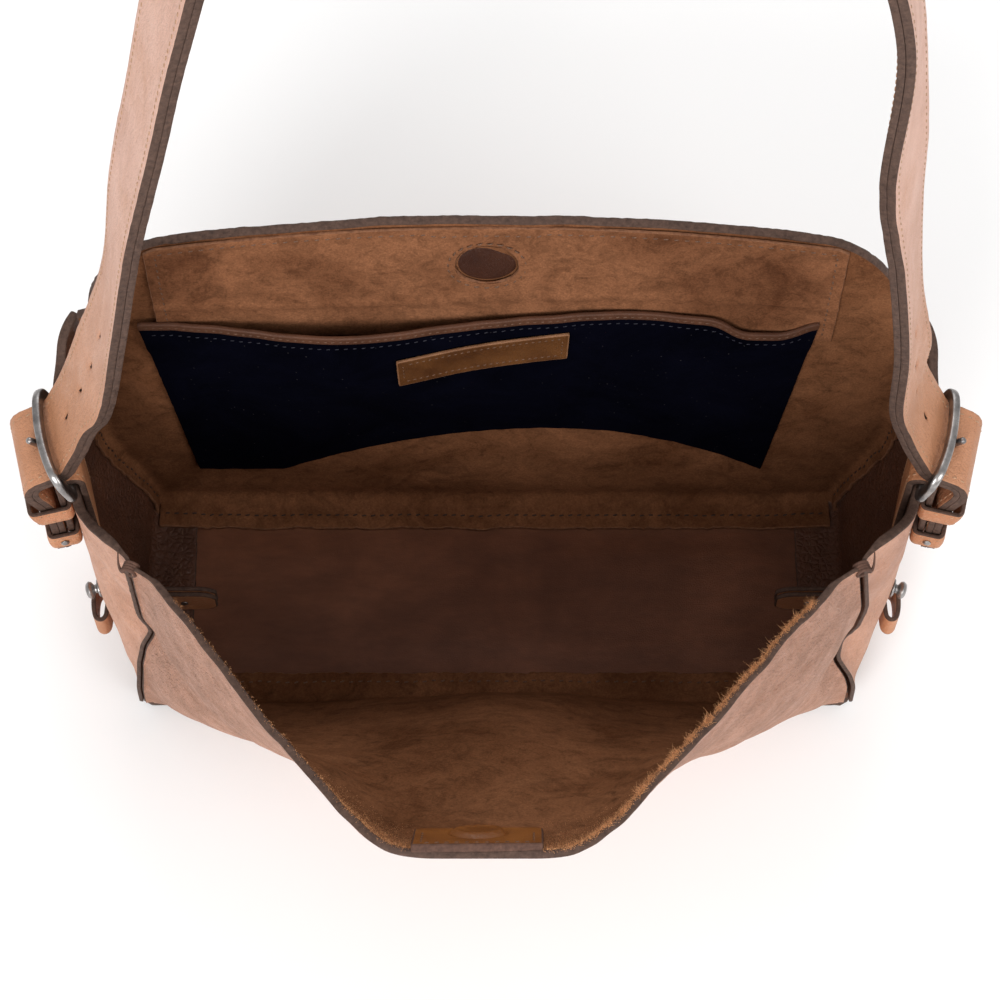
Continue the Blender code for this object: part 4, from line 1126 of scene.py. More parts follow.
def build_gusset(side):
    """Gusset: turned in over the base, sagging, with raw edges at its seams and along its top."""
    sheet, first, last, turned = gusset_sheet(side)

    def skip(i, j):
        return i < turned and not first <= j < last

    outwards = np.sign(sheet.normal[-10, 40, 0]) == side
    faces = [SIDE, GUSSET_IN, EDGE] if outwards else [GUSSET_IN, SIDE, EDGE]
    gusset = sheet.build("gusset_%s_leather" % word(side), faces, skip, rough=0.0004)
    with_bag(gusset, "tan_leather", "gusset_" + word(side))
    inner = -1.0 if outwards else 1.0
    total_rows, columns = sheet.mid.shape[0] - 1, sheet.mid.shape[1] - 1
    lap = 3.0 / total_rows
    lines = [sheet.line([(lap, (first + 2) / columns), (lap, (last - 2) / columns)], inner, 0.0, 160)]
    back = 0.955 if side < 0 else 0.045
    lines.append(sheet.line([(0.20, back), (0.992, back)], -inner, 0.0, 160))
    row = stitches("gusset_%s_stitches" % word(side), lines, THREAD_DARK, *SEWN)
    with_bag(row, "tan_leather")


def build_back_panel():
    """Back: margins turned in over the base and both gussets, top corners rounded, a raw rim."""
    wall = HALF_DEPTH + HIDE / 2
    reach = HIDE / 2 + GAP + MARGIN / 2
    heights = list(np.linspace(FOLD_Z + FOLD_R, 0.20, 60, endpoint=False))
    heights += list(0.20 + (BODY_HEIGHT - 0.20) * np.sin(np.linspace(0, math.pi / 2, 34)))
    rows, sewn = [], []
    for z in heights:
        half = back_half_width(z)
        middle = []
        for s in np.linspace(-1.0, 1.0, 90):
            x = s * (half - 0.0006)
            free = smoothstep((1.0 - abs(s)) / 0.15)
            sag = (0.0014 * grain(x * 12, z * 14, 6.0) + 0.0005 * grain(x * 50, z * 50, 2.0)) * free
            lift = 0.0009 * grain(x * 22, 1.0) * smoothstep((z - 0.24) / 0.026)
            middle.append((x, back_y(x, z) + sag, crowned(x, z) + lift))
        sewn.append(z < 0.178)
        ends = {}
        for side in (-1, 1):
            if sewn[-1]:
                torn = 0.0012 * grain(z * 90, side * 7.0) + 0.0016 * grain(z * 380, side * 2.0)
                ends[side] = []
                for k in range(6):
                    y = HALF_DEPTH + 0.001 - (SIDE_MARGIN + torn) * (1 - k / 5)
                    ends[side].append((side * (side_x(y, z) - gusset_dent(side, y, z) - reach), y, z))
            else:
                x, y, level = middle[0 if side < 0 else -1]
                ends[side] = [(x + side * SIDE_MARGIN * (1 - k / 6), y, level) for k in range(6)]
        path = soften(ends[-1] + middle + ends[1][::-1], 0.0022 if sewn[-1] else 0.0012)
        total = lengths_of(path)[-1]
        rows.append(resample(path, even_stations(total, 0.016, 16, 130)))
    lowest = rows[0]
    flange = turned_in(lowest, HALF_DEPTH - BACK_FLANGE, wall, BACK_FLANGE, 12.0)
    grid = np.array(flange + rows)
    margin = int(round((SIDE_MARGIN + 0.0012) / 0.001))
    turned = len(flange)
    columns, total_rows = grid.shape[1] - 1, len(grid) - 1

    def skip(i, j):
        in_margin = j < margin or j >= columns - margin
        return in_margin and (i < turned - 5 or i >= turned and not sewn[min(i - turned, len(sewn) - 1)])

    thickness = np.full(grid.shape[:2], HIDE)
    for i in range(len(grid)):
        up = max(0.0, grid[i][80][2] - FOLD_Z)
        for j in range(columns + 1):
            edge = min(j, columns - j) * 0.001
            low = i < turned or sewn[i - turned]
            thin = skived(edge - 0.002) if low else HIDE
            thickness[i, j] = min(thin, MARGIN + (HIDE - MARGIN) * smoothstep(up / 0.02))
    sheet = Sheet(grid, thickness)

    def inner_edge(p):
        return p[2] < FOLD_Z + 0.003 or (p[1] < HALF_DEPTH - 0.003 and p[2] < 0.18)

    panel = sheet.build("back_panel_leather", [INNER, OUTER, EDGE, EDGE_TAN], skip, rough=0.0005,
                        inner_edge=inner_edge)
    with_bag(panel, "tan_leather", "back_panel")
    base_line = 4.2 / total_rows
    start, end = (margin + 1) / columns, (columns - margin - 1) / columns
    lines = [sheet.line([(base_line, start), (base_line, end)], 1.0, 0, 400)]
    low, high = turned / total_rows, (turned + sum(sewn) - 2) / total_rows
    for column in (4.0 / columns, 1.0 - 4.0 / columns):
        lines.append(sheet.line([(low, column), (high, column)], 1.0, 0.0, 200))
    row = stitches("back_margin_stitches", lines, THREAD_DEEP, 0.0046, 0.0034, 0.0005)
    with_bag(row, "tan_leather")


def build_base():
    """Base: one dark plate of leather, a little cupped between its seams."""
    half_x, half_y, round_r = BASE_HALF_WIDTH, HALF_DEPTH + 0.0022, 0.004
    grid = []
    for y in np.linspace(-half_y, half_y, 60) + BASE_BACK:
        corner = max(0.0, abs(y - BASE_BACK) - (half_y - round_r))
        reach = half_x - round_r + math.sqrt(max(0.0, round_r ** 2 - corner ** 2))
        row = []
        for x in np.linspace(-reach, reach, 140):
            inside = smoothstep((half_x - 0.028 - abs(x)) / 0.02)
            inside *= smoothstep((half_y - 0.020 - abs(y)) / 0.014)
            row.append((x, y, HIDE / 2 + inside * (0.0006 + 0.0007 * grain(x * 18, y * 26, 2.0))))
        grid.append(row)
    plate = Sheet(grid, HIDE).build("bottom_panel_leather", [BASE, BASE, EDGE], rough=0.0003)
    with_bag(plate, "base_leather", "bottom_panel")


# ---- facing, magnet and pocket ------------------------------------------------------------------
def build_facing():
    """Suede strip inside the back rim, with the magnet's round window and a stitched ring round it."""
    low, high, half = 0.180, BODY_HEIGHT - 0.0012, FACING_HALF
    xs = np.linspace(-1.0, 1.0, 141)
    zs = np.linspace(low, high, 40)
    size = 0.0125
    grid = []
    for z in zs:
        row = []
        reach = min(half, back_half_width(z) - 0.004) if z > 0.25 else half
        for s in xs:
            x = s * reach
            z_here = z
            dx, dz = x - CLOSURE_X, z - MAGNET_Z
            square = max(abs(dx), abs(dz))
            if square < 0.026:
                radius = math.hypot(dx, dz)
                share = min(1.0, max(0.0, (square - size) / (0.026 - size)))
                target = WINDOW_R + (radius - WINDOW_R) * share
                if radius > 1e-6:
                    x = CLOSURE_X + dx / radius * target
                    z_here = MAGNET_Z + dz / radius * target
            crease = 0.0010 * math.exp(-((z - 0.211 - 0.003 * math.sin(x * 21)) / 0.0022) ** 2)
            wave = 0.0006 * grain(x * 30, z * 40, 8.0) + 0.0006
            y = back_y(x, z_here) - HIDE / 2 - GAP - FACING / 2
            y -= (wave + crease) * smoothstep((0.255 - z) / 0.02)
            row.append((x, y, crowned(x, z_here)))
        grid.append(row)

    def skip(i, j):
        x = (xs[j] + xs[j + 1]) / 2 * half
        z = (zs[i] + zs[i + 1]) / 2
        return max(abs(x - CLOSURE_X), abs(z - MAGNET_Z)) < size - 0.0008

    sheet = Sheet(grid, FACING)
    facing = sheet.build("facing_suede", [FACING_LOOK, FACING_LOOK, EDGE_TAN], skip, rough=0.0003)
    with_bag(facing, "flesh_side", "back_facing")

    ring_r, hem = 0.0172, 0.149
    ring = [(CLOSURE_X + ring_r * math.cos(a), MAGNET_Z + ring_r * math.sin(a))
            for a in np.linspace(0.0, math.tau, 73)]
    points = np.array([(x, back_y(x, z) - HIDE / 2 - GAP - FACING - 0.0006, crowned(x, z)) for x, z in ring])
    lines = [(points, np.array([(0.0, -1.0, 0.07)] * len(points))),
             sheet.line([(0.955, 0.5 - 0.5 * hem / half), (0.955, 0.5 + 0.5 * hem / half)], 1.0, 0.0, 300)]
    lines += [sheet.line([(0.04, column), (0.94, column)], 1.0, 0.0, 120) for column in (0.985, 0.015)]
    row = stitches("facing_stitches", lines, THREAD_DARK, 0.0046, 0.0030, 0.0004)
    with_bag(row, "flesh_side")


def build_disc():
    """The smooth leather over the back magnet, in the facing's window."""
    step = 0.001
    slope = (back_y(CLOSURE_X, MAGNET_Z + step) - back_y(CLOSURE_X, MAGNET_Z - step)) / (2 * step)
    face = (CLOSURE_X, back_y(CLOSURE_X, MAGNET_Z) - HIDE / 2, MAGNET_Z)
    edge = WINDOW_R - 0.0009
    dome = [(GAP / 2, 0.0), (GAP / 2, edge), (0.0004, edge), (0.0007, edge - 0.0009)]
    dome += [(0.0007 + 0.0005 * k / 4, (edge - 0.0009) * (1 - (k / 4) ** 2)) for k in range(1, 4)]
    dome.append((0.0012, 0.0))
    disc = lathe("magnet_disc", dome, face, (0.0, -1.0, slope), [DISC], 48)
    with_bag(disc, "base_leather", "back_magnet_cover")


def pocket_gape(x):
    return 0.0030 + 0.0095 * math.exp(-((x + 0.070) / 0.050) ** 2)


def pocket_top(x):
    scoop = 0.0105 * math.exp(-((x - 0.1225) / 0.0180) ** 4)
    return 0.194 + 0.006 * math.exp(-((x - 0.055) / 0.045) ** 2) - scoop


def pocket_point(share, t, lift=0.0, soft=0.0):
    """The pocket's mid-surface: t from its bottom seam to its mouth."""
    half = POCKET_HALF_WIDTH + 0.0135 * t
    x = POCKET_X + share * half
    spread = 0.95 if share < 0.25 else 0.75
    low = POCKET_LOW + POCKET_ARCH * max(0.0, 1.0 - ((share - 0.25) / spread) ** 2)
    z = low + (pocket_top(x) - low) * t + lift
    stand = pocket_gape(x) * smoothstep(t * 1.15) * (1.0 - abs(share) ** 6)
    over_facing = (FACING + GAP) * smoothstep((z - 0.166) / 0.010)
    y = back_y(x, z) - HIDE / 2 - GAP - FACING / 2 - max(stand, over_facing) - 0.0006
    return np.array((x, y - soft, z))


def build_pocket():
    """Slip pocket: navy suede that gapes to the left, its mouth bound with thin leather."""
    shares = np.linspace(-1.0, 1.0, 130)
    grid = []
    for t in np.linspace(0.0, 1.0, 56):
        row = []
        for s in shares:
            loose = smoothstep((1 - abs(s)) / 0.12) * smoothstep(t / 0.12)
            fold = 0.0012 * (grain(s * 3.2, t * 2.4, 5.0) + 0.6) + 0.0005 * grain(s * 11, t * 7, 2.0)
            p = pocket_point(s, t, 0.0, loose * max(0.0, fold))
            if t == 0.0 or abs(s) == 1.0:
                p[2] += 0.0007 * grain(p[0] * 120, p[2] * 120, 1.0)
            row.append(p)
        grid.append(row)
    sheet = Sheet(grid, 0.0014)
    panel = sheet.build("pocket_suede", [NAVY, NAVY, NAVY], rough=0.0003)
    with_bag(panel, "navy_suede", "pocket_panel")
    lines = [sheet.line([(0.965, 0.01), (0.965, 0.99)], 1.0, 0.0, 300),
             sheet.line([(0.02, 0.012), (0.95, 0.012)], 1.0, 0.0, 160),
             sheet.line([(0.95, 0.988), (0.02, 0.988)], 1.0, 0.0, 160)]
    navy_thread = stitches("pocket_stitches", lines[:1], NAVY_THREAD, 0.0040, 0.0027, 0.00034)
    with_bag(navy_thread, "navy_suede")
    side_thread = stitches("pocket_side_stitches", lines[1:], NAVY, 0.0042, 0.0028, 0.0004)
    with_bag(side_thread, "navy_suede")
    trim = []
    for k in range(7):
        row = []
        for i, s in enumerate(shares):
            loose = smoothstep((1 - abs(s)) / 0.12)
            fold = 0.0012 * (grain(s * 3.2, 2.4, 5.0) + 0.6) + 0.0005 * grain(s * 11, 7, 2.0)
            row.append(pocket_point(s, 1.0, 0.0004 + 0.0036 * k / 6, loose * max(0.0, fold)))
        trim.append(row)
    band = Sheet(trim, 0.0021)
    body = band.build("pocket_binding", [TRIM, TRIM, TRIM], round_over=0.3)
    with_bag(body, "flesh_side", "pocket_edge_trim")
    row = stitches("pocket_binding_stitches", [band.line([(0.45, 0.004), (0.45, 0.996)], 1.0, 0.0, 300)],
                   THREAD_DARK, 0.0034, 0.0023, 0.00026)
    with_bag(row, "flesh_side")


def build_label():
    """Blank leather label on the pocket, stitched along its two short sides."""
    grid = []
    for t in np.linspace(0.705, 0.885, 16):
        row = []
        for s in np.linspace(-0.245, 0.268, 40):
            share = (t - 0.705) / 0.18
            x, y, z = pocket_point(s, t + LABEL_SLOPE * s)
            loose = 0.0012 * (grain(s * 3.2, t * 2.4, 5.0) + 0.6)
            curl = 0.0007 * (1 - share) ** 3
            row.append((x, y - max(0.0, loose) - 0.0017 - curl - 0.0004, z))
        grid.append(row)
    sheet = Sheet(grid, 0.0015)
    label = sheet.build("label_blank", [LABEL, LABEL, LABEL_EDGE], round_over=0.4, rough=0.0002)
    with_bag(label, "label_leather", "label_patch")
    border = [(0.14, 0.030), (0.14, 0.970), (0.86, 0.970), (0.86, 0.030), (0.14, 0.030)]
    lines = [sheet.line(list(run), 1.0, 0.0, 120) for run in zip(border, border[1:])]
    row = stitches("label_stitches", lines, THREAD_DARK, 0.0030, 0.0021, 0.00030)
    with_bag(row, "label_leather")


# ---- front tab ----------------------------------------------------------------------------------
def mouth_place():
    """Coordinates on the inside of the front rim: x across, down from the rim, out from its middle."""
    top, below = front_point(0.0, 1.0), front_point(0.0, 1.0 - RIM_DEPTH)
    below[1] -= RIM_STEEP * 0.94
    down_way = unit(below - top)
    out_way = np.cross(down_way, (-1.0, 0.0, 0.0))
    return lambda x, down, out: top + np.array([x, 0.0, 0.0]) + down_way * down + out_way * out


def build_tab():
    """Smooth tab inside the front rim, raised over the hidden magnet, with rounded lower corners."""
    place = mouth_place()
    near = HIDE * 0.78 / 2 - 0.0006
    round_r = 0.0035
    grid = []
    for down in np.linspace(-0.0008, TAB_DROP, 60):
        corner = max(0.0, down - (TAB_DROP - round_r))
        half = TAB_HALF - round_r + math.sqrt(max(0.0, round_r ** 2 - corner ** 2))
        row = []
        for s in np.linspace(-1.0, 1.0, 96):
            x = s * half
            away = math.hypot(x, down - TAB_MAGNET)
            bump = 0.0012 * (1.0 - smoothstep((away - 0.0085) / 0.0030))
            bump += 0.0005 * math.exp(-((away - 0.0085) / 0.0010) ** 2)
            bump -= 0.0005 * math.exp(-((away - 0.0118) / 0.0012) ** 2)
            curve = 0.0003 * grain(x * 40, down * 60, 2.0) * smoothstep(down / 0.008)
            row.append(place(x + TAB_SHIFT, down + TAB_TILT * x, near + TAB_T / 2 + bump + curve))
        grid.append(row)
    sheet = Sheet(grid, TAB_T)
    facing_in = sheet.normal[10, 20, 1] > 0
    looks = [TAB, EDGE, EDGE_BROWN] if facing_in else [EDGE, TAB, EDGE_BROWN]
    tab = sheet.build("front_tab_leather", looks, rough=0.0002)
    with_body(tab, MOUTH, "label_leather", "front_tab")
    lines = [sheet.line([(0.10, c), (0.72, c)], 1.0 if facing_in else -1.0, 0.0, 50) for c in (0.06, 0.94)]
    lines.append(sheet.line([(0.07, 0.06), (0.07, 0.94)], 1.0 if facing_in else -1.0, 0.0, 90))
    row = stitches("front_tab_stitches", lines, THREAD_DARK, 0.0040, 0.0028, 0.0004)
    with_body(row, MOUTH, "label_leather")
    low = place(TAB_SHIFT, TAB_MAGNET, near + 0.0008)
    axis = place(0.0, 0.0, 1.0) - place(0.0, 0.0, 0.0)
    profile = [(0.0, 0.0), (0.0, MAGNET_R), (0.0020, MAGNET_R), (0.0020, 0.0)]
    disc = lathe("front_magnet_disc", profile, low, axis, [METAL], 40)
    with_body(disc, MOUTH, "antique_gunmetal", "front_magnet")


# ---- strap --------------------------------------------------------------------------------------
def tail_profile():
    return [(0.0122, 0.1090), (0.0122, 0.1210), (0.0122, 0.1350), (0.0124, 0.1470), (0.0134, 0.1560),
            (0.0156, 0.1640), (0.0180, 0.1705), (0.0186, 0.1765), (0.0160, 0.1815), (0.0105, 0.1836),
            (0.0044, 0.1860), (0.0002, 0.1905), (-0.0026, 0.1965), (-0.0076, 0.2070),
            (-0.0135, 0.2220)]


def strap_route():
    """Centre line and yaw of the strap, from the left tail over the top to the right tail."""
    route = [(*on_side(-1, n, 0.0, k), -SIDE_YAW) for n, k in tail_profile()]
    arch = [(-0.1715, 0.250, -20), (-0.1550, 0.313, -9), (-0.1418, 0.385, -12), (-0.1268, 0.450, -14),
            (-0.1100, 0.522, -15), (-0.0880, 0.590, -10), (-0.0480, 0.655, -5), (0.0120, 0.684, 0),
            (0.0740, 0.660, 2), (0.1130, 0.600, 3), (0.1390, 0.522, 5), (0.1500, 0.430, 22),
            (0.1595, 0.365, 14), (0.1690, 0.300, 12), (0.1765, 0.250, 22)]
    route += [(x, 0.0, z, math.radians(yaw)) for x, z, yaw in arch]
    route += [(*on_side(1, n, 0.0, k), SIDE_YAW) for n, k in reversed(tail_profile())]
    return spline(route)


def prong_aim():
    """Direction and length of the tongue: from the pivot bar to just outside the outer bar."""
    tip_n = PIVOT[0] + FRAME_REACH * math.sin(FRAME_TILT)
    tip_k = PIVOT[1] + FRAME_REACH * math.cos(FRAME_TILT)
    clear = BAR_R + PRONG_R + FRAME_ARCH + 0.0008
    reach = np.array((tip_n + clear * math.cos(FRAME_TILT) - PIVOT[0],
                      tip_k - clear * math.sin(FRAME_TILT) - PIVOT[1]))
    return unit(reach), np.linalg.norm(reach) + 0.0035


def prong_station(dense, lengths):
    """Distance along the strap to the hole that the left tongue passes through."""
    aim, length = prong_aim()
    tongue = [on_side(-1, PIVOT[0] + aim[0] * r, 0.0, PIVOT[1] + aim[1] * r)
              for r in np.linspace(0.007, length, 30)]
    count = len(dense) // 2
    gaps = [min(np.linalg.norm(point - place) for place in tongue) for point in dense[:count, :3]]
    return lengths[int(np.argmin(gaps))]


def build_strap():
    """Two plies sewn along both edges, with oblong holes and burnished edges."""
    dense = strap_route()
    lengths = lengths_of(dense)
    total = lengths[-1]
    prong = prong_station(dense, lengths)
    centres = [prong + HOLE_PITCH * k for k in range(HOLES)]
    centres += [total - c for c in centres]
    inner, outer = 0.0020, 0.0066       # half-sizes of the square cut out and of the square that is reshaped
    steps = (0.0007, inner, 0.0032, 0.0046, outer)
    ladder = [-s for s in reversed(steps)] + list(steps)
    fine = [c + s for c in centres for s in ladder]
    plain = [s for s in np.arange(0.0, total, 0.0026) if min(abs(s - c) for c in centres) > outer + 0.0012]
    stations = sorted(fine + plain)
    stations[-1] = total
    rows = resample(dense, stations)
    along = np.stack([np.sin(rows[:, 3]), np.cos(rows[:, 3]), np.zeros(len(rows))], 1)
    outwards = np.cross(np.gradient(rows[:, :3], axis=0), along)
    outwards /= np.linalg.norm(outwards, axis=1, keepdims=True)
    tangents = np.cross(along, outwards)
    half = STRAP_WIDTH / 2
    rim = [half, half - 0.0009, half - 0.0022, half - 0.0040, 0.0115]
    offsets = [-o for o in rim] + ladder + rim[::-1]

    def nearest(station):
        return min(centres, key=lambda c: abs(c - station))

    def hole(i, j):
        station, offset = (stations[i] + stations[i + 1]) / 2, (offsets[j] + offsets[j + 1]) / 2
        return abs(station - nearest(station)) < inner and abs(offset) < inner

    def shaped(i, offset):
        """Displacement that makes the square cut-out an oval hole in a shallow dimple."""
        ahead = stations[i] - nearest(stations[i])
        square, radius = max(abs(ahead), abs(offset)), math.hypot(ahead, offset)
        if square > outer + 1e-6 or radius < 1e-6:
            return 0.0
        share = max(0.0, (square - inner) / (outer - inner))
        target = HOLE_WIDTH / 2 + (radius - HOLE_WIDTH / 2) * share
        longer = 1.0 + (HOLE_LENGTH / HOLE_WIDTH - 1.0) * (1.0 - share)
        new_ahead, new_offset = ahead / radius * target * longer, offset / radius * target
        dimple = 0.0010 * math.exp(-(radius / 0.0036) ** 2)
        return (tangents[i] * (new_ahead - ahead) + along[i] * (new_offset - offset) - outwards[i] * dimple)

    def ply(name, thickness, looks, node, sign):
        """One ply; sign is the face of its sheet that shows: -1 for the outer ply, 1 for the lining."""
        shift = -sign * (thickness / 2 + 0.0001)
        grid = np.array(ribbon_grid(rows[:, :3], along, offsets, shift))
        for i, station in enumerate(stations):
            free = smoothstep((rows[i, 2] - 0.20) / 0.06)
            for j, offset in enumerate(offsets):
                rim_share = (offset / half) ** 2
                wobble = 0.0010 * grain(station * 38, 3.0 + (offset > 0) * 9)
                wobble += 0.0004 * grain(station * 130, offset)
                grid[i, j] += along[i] * math.copysign(wobble, offset) * (0.3 + 0.7 * free) * rim_share ** 2
                grid[i, j] += shaped(i, offset)
            tip = min(station, total - station)
            if tip < 0.010:
                narrow = 1.0 - 0.45 * (1.0 - math.sqrt(max(0.0, 1.0 - (1.0 - tip / 0.010) ** 2)))
                centre = grid[i].mean(0)
                grid[i] = centre + (grid[i] - centre) * narrow
        sheet = Sheet(grid, thickness)
        body = sheet.build(name, looks, hole, round_over=0.035, rough=0.0004)
        with_strap(body, "strap_leather", node)
        places = np.linspace(0, 1, len(offsets))
        lines = []
        for offset in (-half + 0.0032, half - 0.0032):
            column = np.interp(offset, offsets, places)
            lines.append(sheet.line([(0.004, column), (0.996, column)], sign, 0.0, 1400))
        row = stitches(name + "_stitches", lines, THREAD, 0.0044, 0.0031, 0.00042)
        with_strap(row, "strap_leather")

    ply("strap_outer_ply", STRAP_OUTER, [EDGE, STRAP_FACE, EDGE], "shoulder_strap", -1.0)
    ply("strap_lining_ply", STRAP_LINING, [STRAP_FACE, EDGE, EDGE], "strap_lining", 1.0)


# ---- buckle sets --------------------------------------------------------------------------------
def side_ribbon(side, profile, offsets, thickness):
    path = np.array([on_side(side, n, 0.0, k) for n, k in profile])
    along = np.array([side_axis(side)] * len(path))
    return Sheet(ribbon_grid(path, along, offsets), thickness)


def outside_of(sheet, side, row=0.9):
    """+1 or -1: which face of a side sheet looks away from the bag at that row."""
    _, normal = sheet.at(row, 0.5)
    return 1.0 if normal[0] * side > 0 else -1.0


def build_chape(side):
    """Folded tab that holds the buckle's pivot bar, slotted for the tongue, stitched at its edges."""
    inner = -(HIDE / 2 + GAP + CHAPE / 2)
    outer = HIDE / 2 + GAP + KEEPER + 2 * GAP + CHAPE / 2
    middle, radius = (inner + outer) / 2, (outer - inner) / 2
    profile = [(inner, k) for k in np.linspace(CHAPE_FOOT, PIVOT[1] - 0.001, 30)]
    first = len(profile)
    profile += [(middle + radius * math.cos(a), PIVOT[1] + radius * math.sin(a))
                for a in np.linspace(math.pi, 0.0, 22)]
    last = len(profile)
    profile += [(outer, k) for k in np.linspace(PIVOT[1] - 0.001, CHAPE_FOOT, 30)]
    half = CHAPE_WIDTH / 2
    offsets = [-half, -half + 0.0008, -half + 0.002, -half + 0.005, -0.009, -0.006, -0.0036, 0.0036, 0.006,
               0.009, half - 0.005, half - 0.002, half - 0.0008, half]
    sheet = side_ribbon(side, profile, offsets, CHAPE)
    for i, (n, k) in enumerate(profile):
        foot = k - CHAPE_FOOT
        if foot < 0.008:
            narrow = 1.0 - 0.30 * (1.0 - math.sqrt(max(0.0, 1.0 - (1.0 - foot / 0.008) ** 2)))
            centre = sheet.mid[i].mean(0)
            sheet.mid[i] = centre + (sheet.mid[i] - centre) * narrow

    def slot(i, j):
        return j == 6 and first - 5 <= i <= last + 3

    out = outside_of(sheet, side)
    looks = [FITTING, EDGE_TAN, EDGE] if out > 0 else [EDGE_TAN, FITTING, EDGE]
    body = sheet.build("%s_chape_leather" % word(side), looks, slot, rough=0.0002)
    with_bag(body, "tan_leather", "%s_chape" % word(side))
    lines = []
    for column in (0.175, 0.825):
        lines.append(sheet.line([(0.01, column), (0.985, column)], out, 0.0, 260))
    row = stitches("%s_chape_stitches" % word(side), lines, THREAD, *FINE, 0.00038)
    with_bag(row, "tan_leather")


def build_frame(side):
    """Buckle frame: flat-sided wire with rounded corners."""
    corner = 0.0065
    loop = []
    arcs = ((FRAME_HALF - corner, FRAME_REACH - corner, corner, 0),
            (-(FRAME_HALF - corner), FRAME_REACH - corner, corner, 90),
            (-(FRAME_HALF - 0.003), 0.003, 0.003, 180), (FRAME_HALF - 0.003, 0.003, 0.003, 270))
    for cb, cr, radius, start in arcs:
        for angle in np.radians(np.linspace(start, start + 90, 9)):
            loop.append((cb + radius * math.cos(angle), cr + radius * math.sin(angle)))
    loop.append(loop[0])
    path = np.array([(b, r, 0.0) for b, r in loop])
    path = resample(path, np.linspace(0.0, lengths_of(path)[-1], 120, endpoint=False))
    centres = []
    for b, reach, _ in path:
        arch = FRAME_ARCH * (1.0 - (b / FRAME_HALF) ** 2) * max(0.0, reach / FRAME_REACH) ** 2
        n = PIVOT[0] + reach * math.sin(FRAME_TILT) + arch * math.cos(FRAME_TILT)
        k = PIVOT[1] + reach * math.cos(FRAME_TILT) - arch * math.sin(FRAME_TILT)
        centres.append(on_side(side, n, b, k))
    flat = on_side(side, math.cos(FRAME_TILT), 0, -math.sin(FRAME_TILT)) - on_side(side, 0, 0, 0)
    radii = [BAR_R * 1.14] * len(centres)
    body = tube("%s_buckle_wire" % word(side), centres, radii, [METAL], 20, True, flat, 0.78, 0.62)
    with_body(body, word(side) + "_buckle", "antique_gunmetal", word(side) + "_buckle_frame")


def build_prong(side):
    """Tongue: rolled round the pivot bar, tapering to a rounded tip outside the outer bar."""
    aim, length = prong_aim()
    turn = math.atan2(aim[1], aim[0])
    ring = BAR_R + 0.0014
    path, radii = [], []
    for angle in np.linspace(turn - math.radians(320), turn - math.radians(28), 30):
        path.append((PIVOT[0] + ring * math.cos(angle), PIVOT[1] + ring * math.sin(angle)))
        radii.append(0.00085)
    length -= 0.0022
    for reach in np.linspace(ring + 0.0022, length, 22):
        share = (reach - ring) / (length - ring)
        path.append((PIVOT[0] + aim[0] * reach, PIVOT[1] + aim[1] * reach))
        radii.append(0.0010 + 0.0006 * smoothstep(share * 4))
    end = np.array(path[-1])
    for k in range(1, 5):
        angle = math.pi / 2 * k / 4
        path.append(tuple(end + aim * 0.0012 * math.sin(angle)))
        radii.append(max(0.0001, 0.0016 * math.cos(angle)))
    centres = np.array([on_side(side, n, 0.0, k) for n, k in path])
    body = tube("%s_tongue_wire" % word(side), centres, radii, [METAL], 14, False, side_axis(side))
    with_body(body, word(side) + "_tongue", "antique_gunmetal", word(side) + "_prong")


def rounded_ring(n_low, n_high, half, radius, per_corner=6):
    """Rounded rectangle in the (out, along) plane, with points along its straight runs."""
    points = []
    corners = ((n_high - radius, half - radius, 0), (n_low + radius, half - radius, 90),
               (n_low + radius, -half + radius, 180), (n_high - radius, -half + radius, 270))
    for cn, cb, start in corners:
        for angle in np.radians(np.linspace(start, start + 90, per_corner)):
            points.append((cn + radius * math.cos(angle), cb + radius * math.sin(angle)))
    return points


def build_keeper(side, node, bottom, top, out_bottom, out_top, body_name):
    """Leather band round the strap's tail and the chape, stitched along both edges."""
    name = node + "_band"
    inner = HIDE / 2 + 2 * GAP + KEEPER / 2
    half = STRAP_WIDTH / 2 + KEEPER_PLAY
    low = rounded_ring(inner, out_bottom, half, 0.0022)
    high = rounded_ring(inner, out_top, half, 0.0022)
    count = 8
    grid = []
    for (n0, b0), (n1, b1) in zip(low, high):
        row = []
        for f in np.linspace(0.0, 1.0, count):
            swell = 0.0003 * math.sin(math.pi * f)
            n, b = n0 + (n1 - n0) * f, b0 + (b1 - b0) * f
            scale = 1.0 + swell / 0.01
            out = inner + (n - inner) * scale
            row.append(on_side(side, out, b * (1 + swell / 0.02), bottom + (top - bottom) * f))
        grid.append(row)
    sheet = Sheet(grid, KEEPER, closed=True)
    middle = on_side(side, (inner + out_bottom) / 2, 0.0, (bottom + top) / 2)
    outward = np.dot(sheet.normal[0, 4], sheet.mid[0, 4] - middle) > 0
    looks = [FITTING, EDGE_TAN, EDGE] if outward else [EDGE_TAN, FITTING, EDGE]
    body = sheet.build(name, looks, round_over=0.3, rough=0.0002)
    with_body(body, body_name, "tan_leather", node)
    out = 1.0 if outward else -1.0
    lines = []
    for column in (0.17, 0.83):
        points = [sheet.at(r, column, out) for r in np.linspace(0.02, 0.98, 160)]
        lines.append((np.array([p for p, _ in points]), np.array([n for _, n in points])))
    row = stitches(name + "_stitches", lines, THREAD, *FINE, 0.00034)
    with_body(row, body_name, "tan_leather")


